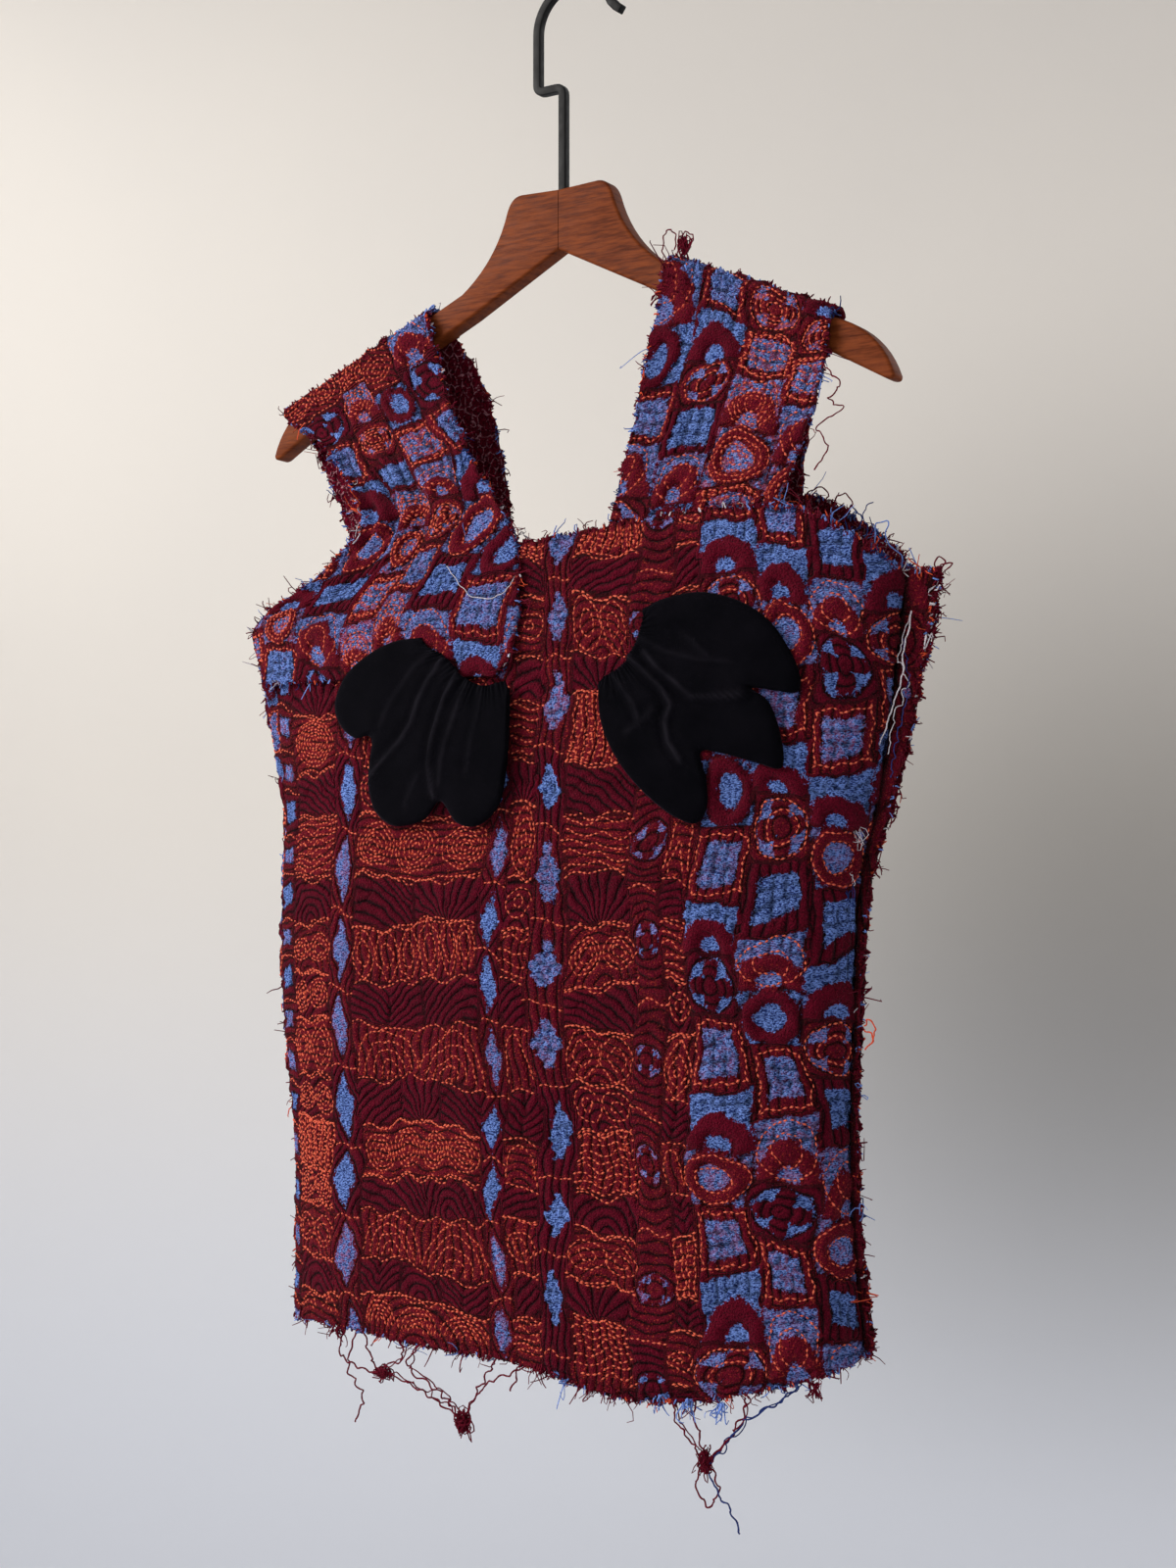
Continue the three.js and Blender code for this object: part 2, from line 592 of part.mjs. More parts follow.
const seamStrips = [
  { name: 'side_seam_right', side: 1, rows: seamRows.right, steps: 24, tufts: 12 },
  { name: 'side_seam_left', side: -1, rows: seamRows.left, steps: 16, tufts: 0 },
];
const tuft = { reach: 9, radius: 0.6, sunk: 1.5, stray: 3, share: 0.3 };   // along the seam's upper share
for (const strip of seamStrips) {
  const face = seamFace(strip.side, strip.rows);
  const outside = movedOut(face, -seamThick);
  const body = wall(face, outside, 2, strip.steps, 1, 1);
  let joined = solid(body);
  for (let k = 0; k < strip.tufts; k += 1) {
    const v = 1 - tuft.share * (k + 0.5) / strip.tufts;
    const root = face(0.95, v);
    root.y += seamThick / 2;
    const reach = tuft.reach * (0.6 + 0.5 * scatter(k, 1));
    const turn = (scatter(k, 2) - 0.3) * 1.6;
    const aside = tuft.stray * (scatter(k, 3) - 0.5) * 2;
    const points = [0, 0.5, 1].map((t) => root.clone().add(new THREE.Vector3(
      t * reach * Math.cos(turn) - (1 - t) * tuft.sunk, aside * t * t, t * t * reach * Math.sin(turn))));
    joined = joined.add(solid(thread(points, tuft.radius, 2)));
  }
  place(strip.name, surface(joined), clothLook);
}

// Frayed hems: a strip parted from each panel's edge, with short ends and long loose threads.
const hemStrip = 4;
function hemFace(depth, hem, cols) {
  return (u, v) => {
    const across = THREE.MathUtils.lerp(1 / cols, 1 - 1 / cols, u);
    const high = along(hem, 'u', 'z', across);
    const section = outline(depth, high);
    const point = section.getPointAt(across);
    point.y += section.side * gap / 2;
    point.z = high - 2 * gap - (1 - v) * hemStrip;
    return point;
  };
}

// The place in a strip, half way down, that lies at an x.
function underX(middle, x) {
  const tries = 200;
  let nearest = middle(0, 0.5);
  for (let k = 1; k <= tries; k += 1) {
    const point = middle(k / tries, 0.5);
    if (Math.abs(point.x - x) < Math.abs(nearest.x - x)) nearest = point;
  }
  return nearest;
}

const hems = [
  {
    name: 'hem_fringe_front', depth: 'front', hem: frontHem, cols: 32, ends: 42,
    long: looseThreads, knots: clumps,
  },
  { name: 'hem_fringe_back', depth: 'back', hem: backHem, cols: 28, ends: 36, long: [], knots: [] },
];
const fray = { shortest: 5, longest: 13, radius: 0.7, stray: 3, wander: 1.5, thread: 0.8 };
for (const hem of hems) {
  const face = hemFace(hem.depth, hem.hem, hem.cols);
  const middle = movedOut(face, -cloth / 2);
  const strip = wall(face, movedOut(face, -cloth), hem.cols - 2, 1, 1, 1);
  let joined = solid(strip);
  for (let k = 0; k < hem.ends; k += 1) {
    const u = (k + 0.5 + 0.5 * (scatter(k, 4) - 0.5)) / hem.ends;
    const root = middle(u, 0.4);
    const drop = THREE.MathUtils.lerp(fray.shortest, fray.longest, scatter(k, 5) ** 2) + hemStrip;
    const aside = fray.stray * (scatter(k, 6) - 0.5) * 2;
    const out = fray.wander * (scatter(k, 7) - 0.5) * 2;
    const points = [0, 0.5, 1].map((t) => root.clone().add(
      new THREE.Vector3(aside * t * t, out * t, -t * drop)));
    joined = joined.add(solid(thread(points, fray.radius, 2)));
  }
  for (const { rooted, path } of hem.long) {
    const points = path.map(([x, out, z], k) => {
      const above = underX(middle, x);
      return rooted && !k ? above : new THREE.Vector3(x, above.y - out, z);
    });
    joined = joined.add(solid(thread(points, fray.thread, 3 * (points.length - 1))));
  }
  for (const knot of hem.knots) {
    const ball = new THREE.IcosahedronGeometry(1, 1);
    ball.scale(knot.wide, knot.wide, knot.tall);
    ball.translate(knot.x, underX(middle, knot.x).y - knot.out, knot.z);
    joined = joined.add(solid(ball));
  }
  place(hem.name, surface(joined), clothLook);
}

export default top;
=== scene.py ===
import math
import bmesh
import bpy
import numpy as np
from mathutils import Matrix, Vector, kdtree


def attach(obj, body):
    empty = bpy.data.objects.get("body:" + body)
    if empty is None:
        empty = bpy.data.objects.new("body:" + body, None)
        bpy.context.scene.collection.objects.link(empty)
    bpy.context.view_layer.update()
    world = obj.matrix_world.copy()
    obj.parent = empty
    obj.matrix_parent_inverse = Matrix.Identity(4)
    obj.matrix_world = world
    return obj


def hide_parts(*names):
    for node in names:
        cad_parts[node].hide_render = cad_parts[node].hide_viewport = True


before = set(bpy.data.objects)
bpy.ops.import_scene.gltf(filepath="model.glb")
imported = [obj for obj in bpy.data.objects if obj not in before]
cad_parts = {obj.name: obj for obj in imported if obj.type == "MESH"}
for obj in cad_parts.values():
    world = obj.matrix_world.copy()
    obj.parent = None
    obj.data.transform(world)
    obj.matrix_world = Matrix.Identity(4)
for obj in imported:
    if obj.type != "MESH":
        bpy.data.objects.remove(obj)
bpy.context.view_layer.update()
scene = bpy.context.scene
scene.view_settings.view_transform = "Standard"

# Sizes are in millimetres, and every mesh is written in metres. +Z is up and the front is towards -Y.
mm = 0.001

# Camera and stage.

view = {
    "place": (0.7225, -1.1132, -0.5276),
    "yaw": 32.48,
    "pitch": 3.04,
    "lens": 54.0,
}


def addCamera():
    data = bpy.data.cameras.new("camera")
    data.lens = view["lens"]
    data.clip_start = 0.02
    camera = bpy.data.objects.new("camera", data)
    scene.collection.objects.link(camera)
    camera.location = view["place"]
    camera.rotation_euler = (math.radians(90 + view["pitch"]), 0, math.radians(view["yaw"]))
    scene.camera = camera


addCamera()
print("camera placed")


# Materials.

def linear(colour):
    # A shader colour from red, green and blue up to 255.
    shares = [value / 255 for value in colour]
    return (*(c / 12.92 if c <= 0.04045 else ((c + 0.055) / 1.055) ** 2.4 for c in shares), 1.0)


class Finish:
    # A material with short ways to add and join its nodes.
    def __init__(self, name):
        self.material = bpy.data.materials.new(name)
        self.material.use_nodes = True
        self.nodes = self.material.node_tree.nodes
        self.links = self.material.node_tree.links
        self.shader = self.nodes["Principled BSDF"]

    def put(self, socket, value):
        if isinstance(value, bpy.types.NodeSocket):
            self.links.new(value, socket)
        else:
            socket.default_value = value

    def add(self, kind, inputs, output=0, **settings):
        made = self.nodes.new(kind)
        for name, value in settings.items():
            setattr(made, name, value)
        for name, value in inputs.items():
            self.put(made.inputs[name], value)
        return made.outputs[output]

    def attribute(self, name):
        return self.add("ShaderNodeAttribute", {}, "Fac", attribute_name=name)

    def place(self, scale=(1, 1, 1)):
        here = self.add("ShaderNodeTexCoord", {}, "Object")
        return self.add("ShaderNodeMapping", {"Vector": here, "Scale": scale})

    def noise(self, scale, detail=2.0, stretch=(1, 1, 1), rough=0.5):
        return self.add(
            "ShaderNodeTexNoise",
            {"Vector": self.place(stretch), "Scale": scale, "Detail": detail, "Roughness": rough})

    def math(self, kind, a, b=0.0, c=0.0):
        made = self.nodes.new("ShaderNodeMath")
        made.operation = kind
        for socket, value in zip(made.inputs, (a, b, c)):
            self.put(socket, value)
        return made.outputs[0]

    def times(self, a, b):
        return self.math("MULTIPLY", a, b)

    def timesPlus(self, a, b, c):
        return self.math("MULTIPLY_ADD", a, b, c)

    def span(self, value, low, high, outLow=0.0, outHigh=1.0):
        return self.add(
            "ShaderNodeMapRange",
            {"Value": value, "From Min": low, "From Max": high, "To Min": outLow, "To Max": outHigh},
            interpolation_type="SMOOTHSTEP")

    def mix(self, share, a, b, blend="MIX"):
        made = self.nodes.new("ShaderNodeMix")
        made.data_type = "RGBA"
        made.blend_type = blend
        self.put(made.inputs[0], share)
        self.put(made.inputs[6], a)
        self.put(made.inputs[7], b)
        return made.outputs[2]

    def bump(self, height, distance, strength=1.0):
        made = self.add("ShaderNodeBump", {"Height": height, "Distance": distance, "Strength": strength})
        self.put(self.shader.inputs["Normal"], made)

    def shaded(self, colour, shade):
        grey = self.add("ShaderNodeCombineColor", {"Red": shade, "Green": shade, "Blue": shade})
        return self.mix(1.0, colour, grey, "MULTIPLY")

    def set(self, **values):
        for name, value in values.items():
            self.put(self.shader.inputs[name.replace("_", " ")], value)
        return self.material


yarnColours = {
    "wineDark": (40, 3, 13),
    "wine": (110, 11, 36),
    "blueDark": (38, 56, 118),
    "blue": (124, 156, 232),
    "coral": (232, 88, 54),
    "ember": (170, 44, 36),
    "pink": (214, 150, 160),
    "white": (222, 214, 220),
}
inks = {name: linear(colour) for name, colour in yarnColours.items()}


def quiltFinish():
    # Chenille yarn: wine cords, blue pile with ragged edges, and stitched places shot with coral.
    made = Finish("quiltedCloth")
    fine = made.noise(1000.0, 2.0)
    fleck = made.noise(620.0, 1.0, (1.0, 1.0, 2.4))
    soft = made.noise(330.0, 2.0)
    wide = made.noise(38.0, 2.0)
    dent = made.attribute("dent")
    warm = made.attribute("warm")
    sewn = made.attribute("sewn")
    ridge = made.math("ABSOLUTE", made.math("SINE", made.times(made.attribute("vein"), math.pi)))
    cord = made.math("POWER", ridge, 0.55)
    ragged = made.timesPlus(fine, 3.6, made.timesPlus(soft, 4.4, -4.0))
    inBlue = made.span(made.math("ADD", made.attribute("blue"), ragged), -0.3, 0.4)

    # Painted light on the cords: lighter on their crests and darker between them, with fine noise for random
    # tone.
    lit = made.timesPlus(cord, 0.75, made.timesPlus(fine, 1.7, -0.95))
    wine = made.mix(lit, inks["wineDark"], inks["wine"])
    warmth = made.math("ADD", made.times(warm, 0.07), made.times(sewn, 0.16))
    wine = made.mix(made.times(warmth, made.span(soft, 0.25, 0.75, 0.4, 1.3)), wine, inks["ember"])
    blue = made.mix(made.span(fleck, 0.38, 0.56), inks["blueDark"], inks["blue"])
    ground = made.mix(inBlue, wine, blue)
    heathered = made.times(made.span(warm, 0.3, 0.8), inBlue)
    for spots, ink in (((soft, 0.48, 0.56, 0.0, 0.7), "ember"), ((fleck, 0.64, 0.7, 0.0, 0.8), "pink")):
        ground = made.mix(made.times(heathered, made.span(*spots)), ground, inks[ink])
    flecks = made.noise(760.0, 1.0, (1.0, 1.0, 1.7))
    shot = made.times(made.math("ADD", warm, sewn), made.span(flecks, 0.62, 0.68, 0.0, 0.45))
    ground = made.mix(shot, ground, inks["coral"])
    # Painted shade: darker in the dents and in the grooves between the cords; the wide noise is random tone.
    shade = made.timesPlus(made.span(dent, 0.25, 0.95), -0.72, 1.0)
    groove = made.times(made.span(cord, 0.2, 0.8, 0.58, 0.0), made.math("SUBTRACT", 1.0, inBlue))
    shade = made.times(shade, made.math("SUBTRACT", 1.0, groove))
    shade = made.times(shade, made.span(wide, 0.2, 0.8, 0.85, 1.15))
    ground = made.shaded(ground, shade)

    cords = made.times(cord, made.timesPlus(inBlue, -0.8, 1.0))
    height = made.timesPlus(cords, 0.8, made.times(fine, 0.95))
    height = made.timesPlus(dent, -0.7, height)
    height = made.timesPlus(fleck, made.timesPlus(inBlue, 0.9, 0.15), height)
    made.bump(height, 2.6 * mm)
    return made.set(
        Base_Color=ground, Roughness=0.95, Sheen_Weight=0.02, Sheen_Roughness=0.5, Specular_IOR_Level=0.04)


def insideFinish():
    # The reverse: wine yarn with pale floats in fine meshes.
    made = Finish("clothInside")
    fine = made.noise(900.0, 2.0)
    fleck = made.noise(420.0, 2.0, (1.0, 1.0, 2.0))
    mesh = made.add(
        "ShaderNodeTexVoronoi", {"Vector": made.place((1.0, 1.0, 0.7)), "Scale": 230.0},
        feature="DISTANCE_TO_EDGE")
    floats = made.times(made.span(mesh, 0.1, 0.02), made.span(fleck, 0.44, 0.56))
    wine = made.mix(made.span(fine, 0.3, 0.7), inks["wineDark"], inks["wine"])
    colour = made.mix(made.times(floats, 0.6), wine, inks["pink"])
    made.bump(made.timesPlus(floats, 0.8, fine), 0.8 * mm)
    return made.set(Base_Color=colour, Roughness=0.95, Specular_IOR_Level=0.05)


def threadFinish(name, dark, light):
    # Stitched yarn. Each stitch has its own tone, with a painted highlight along its top and painted shade at
    # its ends and underside.
    made = Finish(name)
    twist = made.noise(1600.0, 1.0)
    tone = made.timesPlus(twist, 0.3, made.timesPlus(made.attribute("tone"), 1.1, -0.15))
    made.bump(twist, 0.3 * mm)
    colour = made.mix(tone, dark, light)
    return made.set(Base_Color=colour, Roughness=0.8, Sheen_Weight=0.1, Specular_IOR_Level=0.25)


def frayFinish():
    # Loose yarn. Each thread's tone picks its colour.
    made = Finish("frayedYarn")
    tone = made.attribute("tone")
    ramp = made.nodes.new("ShaderNodeValToRGB")
    ramp.color_ramp.interpolation = "CONSTANT"
    stops = [(0.0, "wine"), (0.5, "blueDark"), (0.64, "blue"), (0.78, "coral"), (0.9, "white")]
    while len(ramp.color_ramp.elements) < len(stops):
        ramp.color_ramp.elements.new(0.5)
    for element, (at, ink) in zip(ramp.color_ramp.elements, stops):
        element.position = at
        element.color = inks[ink]
    made.put(ramp.inputs[0], tone)
    twist = made.noise(1500.0, 1.0)
    shade = made.span(twist, 0.2, 0.8, 0.55, 1.15)
    colour = made.shaded(ramp.outputs[0], shade)
    made.bump(twist, 0.3 * mm)
    return made.set(Base_Color=colour, Roughness=0.9, Specular_IOR_Level=0.15)


def velvetFinish():
    made = Finish("blackVelvet")
    nap = made.noise(1300.0, 2.0)
    patch = made.noise(55.0, 3.0)
    crease = made.attribute("pile")
    lit = made.timesPlus(patch, 0.9, -0.2)
    colour = made.mix(lit, linear((2, 2, 5)), linear((16, 14, 20)))
    # Painted sheen: lighter along the ridges of the creases.
    paintedSheen = made.times(crease, made.span(patch, 0.3, 0.7, 0.1, 0.4))
    colour = made.mix(paintedSheen, colour, linear((44, 41, 48)))
    made.bump(nap, 0.3 * mm, 0.8)
    return made.set(
        Base_Color=colour, Roughness=0.9, Sheen_Weight=0.12, Sheen_Roughness=0.35,
        Sheen_Tint=linear((110, 105, 125)), Specular_IOR_Level=0.04)


def woodFinish():
    made = Finish("hangerWood")
    grain = made.noise(60.0, 4.0, (1.0, 1.0, 9.0), 0.6)
    fine = made.noise(420.0, 3.0, (0.35, 1.0, 3.0))
    tone = made.timesPlus(fine, 0.35, made.times(grain, 0.75))
    colour = made.mix(made.span(tone, 0.3, 0.75), linear((78, 31, 12)), linear((130, 64, 30)))
    made.bump(fine, 0.12 * mm, 0.5)
    return made.set(
        Base_Color=colour, Roughness=made.span(fine, 0.2, 0.8, 0.42, 0.58), Specular_IOR_Level=0.06)


def hookFinish():
    made = Finish("hookSteel")
    wear = made.noise(240.0, 3.0)
    made.bump(wear, 0.08 * mm, 0.6)
    colour = made.mix(wear, linear((9, 9, 10)), linear((24, 23, 23)))
    return made.set(
        Base_Color=colour, Roughness=made.span(wear, 0.3, 0.7, 0.45, 0.6), Specular_IOR_Level=0.16)


finishes = {
    "quilt": quiltFinish(),
    "inside": insideFinish(),
    "stitch": threadFinish("coralStitching", linear((180, 28, 18)), linear((255, 122, 86))),
    "fray": frayFinish(),
    "velvet": velvetFinish(),
    "wood": woodFinish(),
    "steel": hookFinish(),
}
print("finishes made")


# Stage and light.

# In metres: the floor's height, the radius of its flat, the curve up to the wall, and the wall's top.
stage = {
    "floor": -1.55,
    "flat": 2.4,
    "curve": 1.6,
    "wallTop": 3.2,
    "steps": 12,
    "shadow": {"centre": (-1.0, 3.85, -0.72), "from": 0.1, "to": 1.75, "dark": 0.4},
}
roomLight = {"colour": (0.86, 0.9, 1.0, 1.0), "strength": 0.37}


def meshOf(bm, name):
    # A smooth mesh from an edited one, which is freed.
    mesh = bpy.data.meshes.new(name)
    bm.to_mesh(mesh)
    bm.free()
    mesh.shade_smooth()
    return mesh


def addStage():
    # A floor that curves up into a wall all round, with a painted shadow of the hanging cloth on it.
    made = Finish("paleStage")
    mottle = made.noise(1.2, 2.0)
    place = made.place()
    height = made.add("ShaderNodeSeparateXYZ", {0: place}, 2)
    pale = made.mix(mottle, linear((228, 223, 216)), linear((236, 230, 221)))
    # Painted cool light: bluer towards the bottom.
    pale = made.mix(made.span(height, -0.2, -1.7), pale, linear((226, 231, 241)))
    shadow = stage["shadow"]
    away = made.add("ShaderNodeVectorMath", {0: place, 1: shadow["centre"]}, 1, operation="DISTANCE")
    shade = made.span(away, shadow["from"], shadow["to"], shadow["dark"], 1.0)
    made.set(Base_Color=made.shaded(pale, shade), Roughness=0.95)
    profile = [(0.0, stage["floor"]), (stage["flat"], stage["floor"])]
    for k in range(1, stage["steps"] + 1):
        angle = math.pi / 2 * k / stage["steps"]
        profile.append((
            stage["flat"] + stage["curve"] * math.sin(angle),
            stage["floor"] + stage["curve"] * (1 - math.cos(angle))))
    profile.append((stage["flat"] + stage["curve"], stage["wallTop"]))
    bm = bmesh.new()
    corners = [bm.verts.new((r, 0, z)) for r, z in profile]
    edges = [bm.edges.new(pair) for pair in zip(corners, corners[1:])]
    bmesh.ops.spin(
        bm, geom=corners + edges, cent=(0, 0, 0), axis=(0, 0, 1), angle=math.tau, steps=64, use_merge=True)
    bmesh.ops.remove_doubles(bm, verts=bm.verts, dist=0.0005)
    bmesh.ops.recalc_face_normals(bm, faces=bm.faces)
    mesh = meshOf(bm, "stageFloor")
    mesh.materials.append(made.material)
    floor = bpy.data.objects.new("stageFloor", mesh)
    scene.collection.objects.link(floor)


lamps = {
    "window": {
        "place": (-1.6, -1.6, 0.6), "aim": (0, 0, -0.45), "wide": 1.4, "power": 64,
        "tint": (1.0, 0.97, 0.94)},
    "fill": {
        "place": (1.9, -1.9, 0.5), "aim": (0, 0, -0.5), "wide": 1.8, "power": 4, "tint": (0.86, 0.92, 1.0)},
    "rear": {
        "place": (1.0, 2.0, 0.9), "aim": (0, 0, -0.4), "wide": 1.8, "power": 12, "tint": (0.94, 0.96, 1.0)},
    "wall": {
        "place": (-2.87, 0.62, 1.2), "aim": (-2.3, 3.0, 0.5), "wide": 1.5, "power": 20,
        "tint": (1.0, 0.975, 0.94), "spread": 115},
}


def addLight(name, place, aim, wide, power, tint, spread=180):
    data = bpy.data.lights.new(name, "AREA")
    data.size = wide
    data.energy = power
    data.color = tint
    data.spread = math.radians(spread)
    lamp = bpy.data.objects.new(name, data)
    scene.collection.objects.link(lamp)
    lamp.location = place
    lamp.rotation_euler = (Vector(aim) - Vector(place)).to_track_quat("-Z", "Y").to_euler()


addStage()
for lampName, lamp in lamps.items():
    addLight(lampName, **lamp)
world = bpy.data.worlds.new("softRoom")
world.use_nodes = True
background = world.node_tree.nodes["Background"]
background.inputs["Color"].default_value = roomLight["colour"]
background.inputs["Strength"].default_value = roomLight["strength"]
scene.world = world
print("stage and lights placed")


# The form of the body.

form = {
    "cloth": 2.4,        # wall of the quilted cloth
    "pillow": 1.1,       # how far its quilting stands out
    "gap": 0.4,
    "roundness": 2.35,   # 2 is an ellipse, more is squarer
    "groove": 2.4,       # width of the dark line beside a seam
    "across": 460,       # about the length of a panel's face from seam to seam
}
# The body's outline at some heights: its middle, half width and depth to the front and back.
body = {
    "z": [-300, -361, -431, -471, -511, -591, -636, -691, -790],
    "mid": [-6, -6, -3, -2, -8, -10, -8, -5, 0],
    "half": [222, 215, 203, 195, 191, 188, 184, 182, 187],
    "front": [32, 44, 51, 52, 50, 46, 45, 47, 52],
    "back": [27, 36, 41, 42, 41, 39, 38, 39, 42],
}
# Hanging folds: their middle, length, width, how far they stand out and how they lean.
foldKeys = ("x", "z", "long", "wide", "out", "lean")
folds = {
    "front": [
        (-82, -585, 170, 26, -3.5, -0.06), (-28, -650, 165, 24, 3, 0.04), (48, -600, 150, 30, -4, 0.12),
        (112, -660, 140, 26, 3.5, -0.1), (-135, -700, 110, 22, 3, 0.05), (30, -765, 60, 26, 4, 0),
    ],
    "back": [
        (92, -520, 170, 32, -4, 0.1), (-6, -660, 160, 30, 3.5, 0),
        (-104, -560, 170, 30, -3.5, -0.08), (-55, -740, 80, 24, -3, 0.05),
    ],
}
sides = {"front": -1, "back": 1}
# Heights of the panels' edges, by share across.
edges = {
    "frontTop": {
        "u": [0, 0.09, 0.2, 0.27, 0.5, 0.61, 0.74, 0.87, 0.94, 1],
        "z": [-363, -350, -330, -322, -324, -320, -315, -320, -338, -356],
    },
    "frontHem": {
        "u": [0, 0.16, 0.34, 0.52, 0.68, 0.84, 1],
        "z": [-765, -761, -765, -768, -780, -771, -753],
    },
    "backTop": {
        "u": [0, 0.07, 0.16, 0.26, 0.42, 0.58, 0.74, 0.84, 0.93, 1],
        "z": [-354, -332, -306, -301, -318, -318, -305, -311, -340, -363],
    },
    "backHem": {
        "u": [0, 0.2, 0.45, 0.75, 1],
        "z": [-753, -762, -770, -768, -765],
    },
}


def hump(value, wide):
    # 1 where the value is 0, falling away on both sides.
    return np.exp(-((value / wide) ** 2))


def unit(ways):
    return ways / np.maximum(np.linalg.norm(ways, axis=-1, keepdims=True), 1e-9)


def runOf(line):
    # Length along a line of points, at each of them.
    return np.concatenate([[0], np.cumsum(np.linalg.norm(np.diff(line, axis=0), axis=1))])


def along(rows, key, column, at):
    # A smooth value of one column of a table, at places given in another.
    keys = np.array(rows[key], float)
    values = np.array(rows[column], float)
    if keys[-1] < keys[0]:
        keys, values = keys[::-1], values[::-1]
    slopes = np.empty(len(keys))
    slopes[1:-1] = (values[2:] - values[:-2]) / (keys[2:] - keys[:-2])
    slopes[0] = (values[1] - values[0]) / (keys[1] - keys[0])
    slopes[-1] = (values[-1] - values[-2]) / (keys[-1] - keys[-2])
    at = np.asarray(at, float)
    k = np.clip(np.searchsorted(keys, at, side="right") - 1, 0, len(keys) - 2)
    reach = keys[k + 1] - keys[k]
    t = np.clip((at - keys[k]) / reach, 0, 1)
    rise = values[k + 1] - values[k]
    bend = (slopes[k] * reach - rise) * (1 - t) - (slopes[k + 1] * reach - rise) * t
    return values[k] + rise * t + t * (1 - t) * bend


def onPanel(depth, x, z, lift=0.0):
    # A place on a panel by x and z, moved out from its face.
    side = sides[depth]
    power = form["roundness"]
    mid, half, deepest = (along(body, "z", column, z) for column in ("mid", "half", depth))
    aside = np.clip((x - mid) / half, -1, 1)
    deep = (1 - np.abs(aside) ** power) ** (1 / power)
    out = np.zeros(np.broadcast(x, z).shape)
    for row in folds[depth]:
        fold = dict(zip(foldKeys, row))
        near = np.clip((z - fold["z"]) / fold["long"], -1, 1)
        across = (x - fold["x"] + fold["lean"] * (z - fold["z"])) / fold["wide"]
        out = out + fold["out"] * (1 - near * near) ** 2 * np.exp(-across * across)
    y = side * deep * (deepest + out)
    faceX = np.sign(aside) * np.abs(aside) ** (power - 1) / half
    faceY = side * deep ** (power - 1) / deepest
    size = np.hypot(faceX, faceY)
    return np.stack([x + lift * faceX / size, y + lift * faceY / size, z + 0 * x], -1)


arcSpan = (-800, -295)   # heights that the arc tables cover


def arcTable(depth):
    # For each height, x at even steps along the panel's own length, and that length.
    heights = np.linspace(arcSpan[0], arcSpan[1], 60)
    turn = np.cos(np.pi * np.linspace(0, 1, 241))
    steps = np.linspace(0, 1, 161)
    rows, lengths = [], []
    for z in heights:
        mid, half = (float(along(body, "z", column, z)) for column in ("mid", "half"))
        x = mid + sides[depth] * half * np.sign(turn) * np.abs(turn) ** (2 / form["roundness"])
        points = onPanel(depth, x, np.full(x.shape, z))
        run = runOf(points)
        rows.append(np.interp(steps, run / run[-1], x))
        lengths.append(run[-1])
    return {"z": heights, "x": np.array(rows), "length": np.array(lengths)}


arcs = {depth: arcTable(depth) for depth in sides}


def panelX(depth, u, z):
    table = arcs[depth]["x"]
    low, high = arcSpan
    row = (np.clip(z, low, high) - low) / (high - low) * (table.shape[0] - 1)
    col = np.clip(u, 0, 1) * (table.shape[1] - 1)
    j = np.clip(row.astype(int), 0, table.shape[0] - 2)
    i = np.clip(col.astype(int), 0, table.shape[1] - 2)
    s, t = row - j, col - i
    low = table[j, i] * (1 - t) + table[j, i + 1] * t
    high = table[j + 1, i] * (1 - t) + table[j + 1, i + 1] * t
    return low * (1 - s) + high * s


def panelFace(depth, u, z):
    # Places on a panel's face, half a gap out from the side seams.
    points = onPanel(depth, panelX(depth, u, z), z)
    points[..., 1] += sides[depth] * form["gap"] / 2
    return points


def lengthAt(depth, z):
    return np.interp(z, arcs[depth]["z"], arcs[depth]["length"])


def evenNoise(at, seed, length):
    # A smooth random wander along an edge, from -1 to 1.
    rng = np.random.default_rng(seed)
    made = np.zeros(np.shape(at))
    for share in (1.0, 0.5, 0.27, 0.13):
        made = made + share * np.sin(at * math.tau / (length * share) + rng.uniform(0, math.tau))
    return made / 1.9


def raggedEdges(points, named, seed, depth=1.1):
    # Raw edges wander a little from the cut, less and less inside the cloth.
    moved = points.copy()
    for k, edge in enumerate(named):
        axis = 1 if edge in ("left", "right") else 0
        ahead = np.gradient(points, axis=axis)
        size = np.linalg.norm(ahead, axis=-1, keepdims=True)
        run = np.cumsum(size[..., 0], axis=axis)
        far = run if edge in ("left", "bottom") else run.take([-1], axis=axis) - run
        other = np.cumsum(np.linalg.norm(np.gradient(points, axis=1 - axis), axis=-1), axis=1 - axis)
        wander = depth * evenNoise(other, seed + k, 21.0) * np.exp(-far / 6)
        moved = moved + ahead / np.maximum(size, 1e-9) * wander[..., None]
    return moved


class Panel:
    # A body panel. u runs across it as seen from outside and v from its hem to its top edge.
    def __init__(self, depth):
        self.depth = depth
        self.top = edges[depth + "Top"]
        self.hem = edges[depth + "Hem"]

    def ends(self, u):
        return along(self.hem, "u", "z", u), along(self.top, "u", "z", u)

    def height(self, u, v):
        low, high = self.ends(u)
        return low + (high - low) * v

    def face(self, u, v):
        return panelFace(self.depth, u, self.height(u, v))

    def cut(self, u, v):
        # Place in the flat cloth, across from its middle and up.
        z = self.height(u, v)
        return (u - 0.5) * lengthAt(self.depth, z), z

    def spot(self, a, b):
        # The shares across and up of a place in the flat cloth.
        u = 0.5 + a / lengthAt(self.depth, b)
        low, high = self.ends(u)
        return u, (b - low) / (high - low)


# The straps.

# The arms' top edge, which the straps hang over: its height at the shoulder and its slope from there.
arm = {"mid": -2.5, "high": -168.5, "shoulder": 68, "slope": 0.434, "thick": 12, "bevel": 1.7}
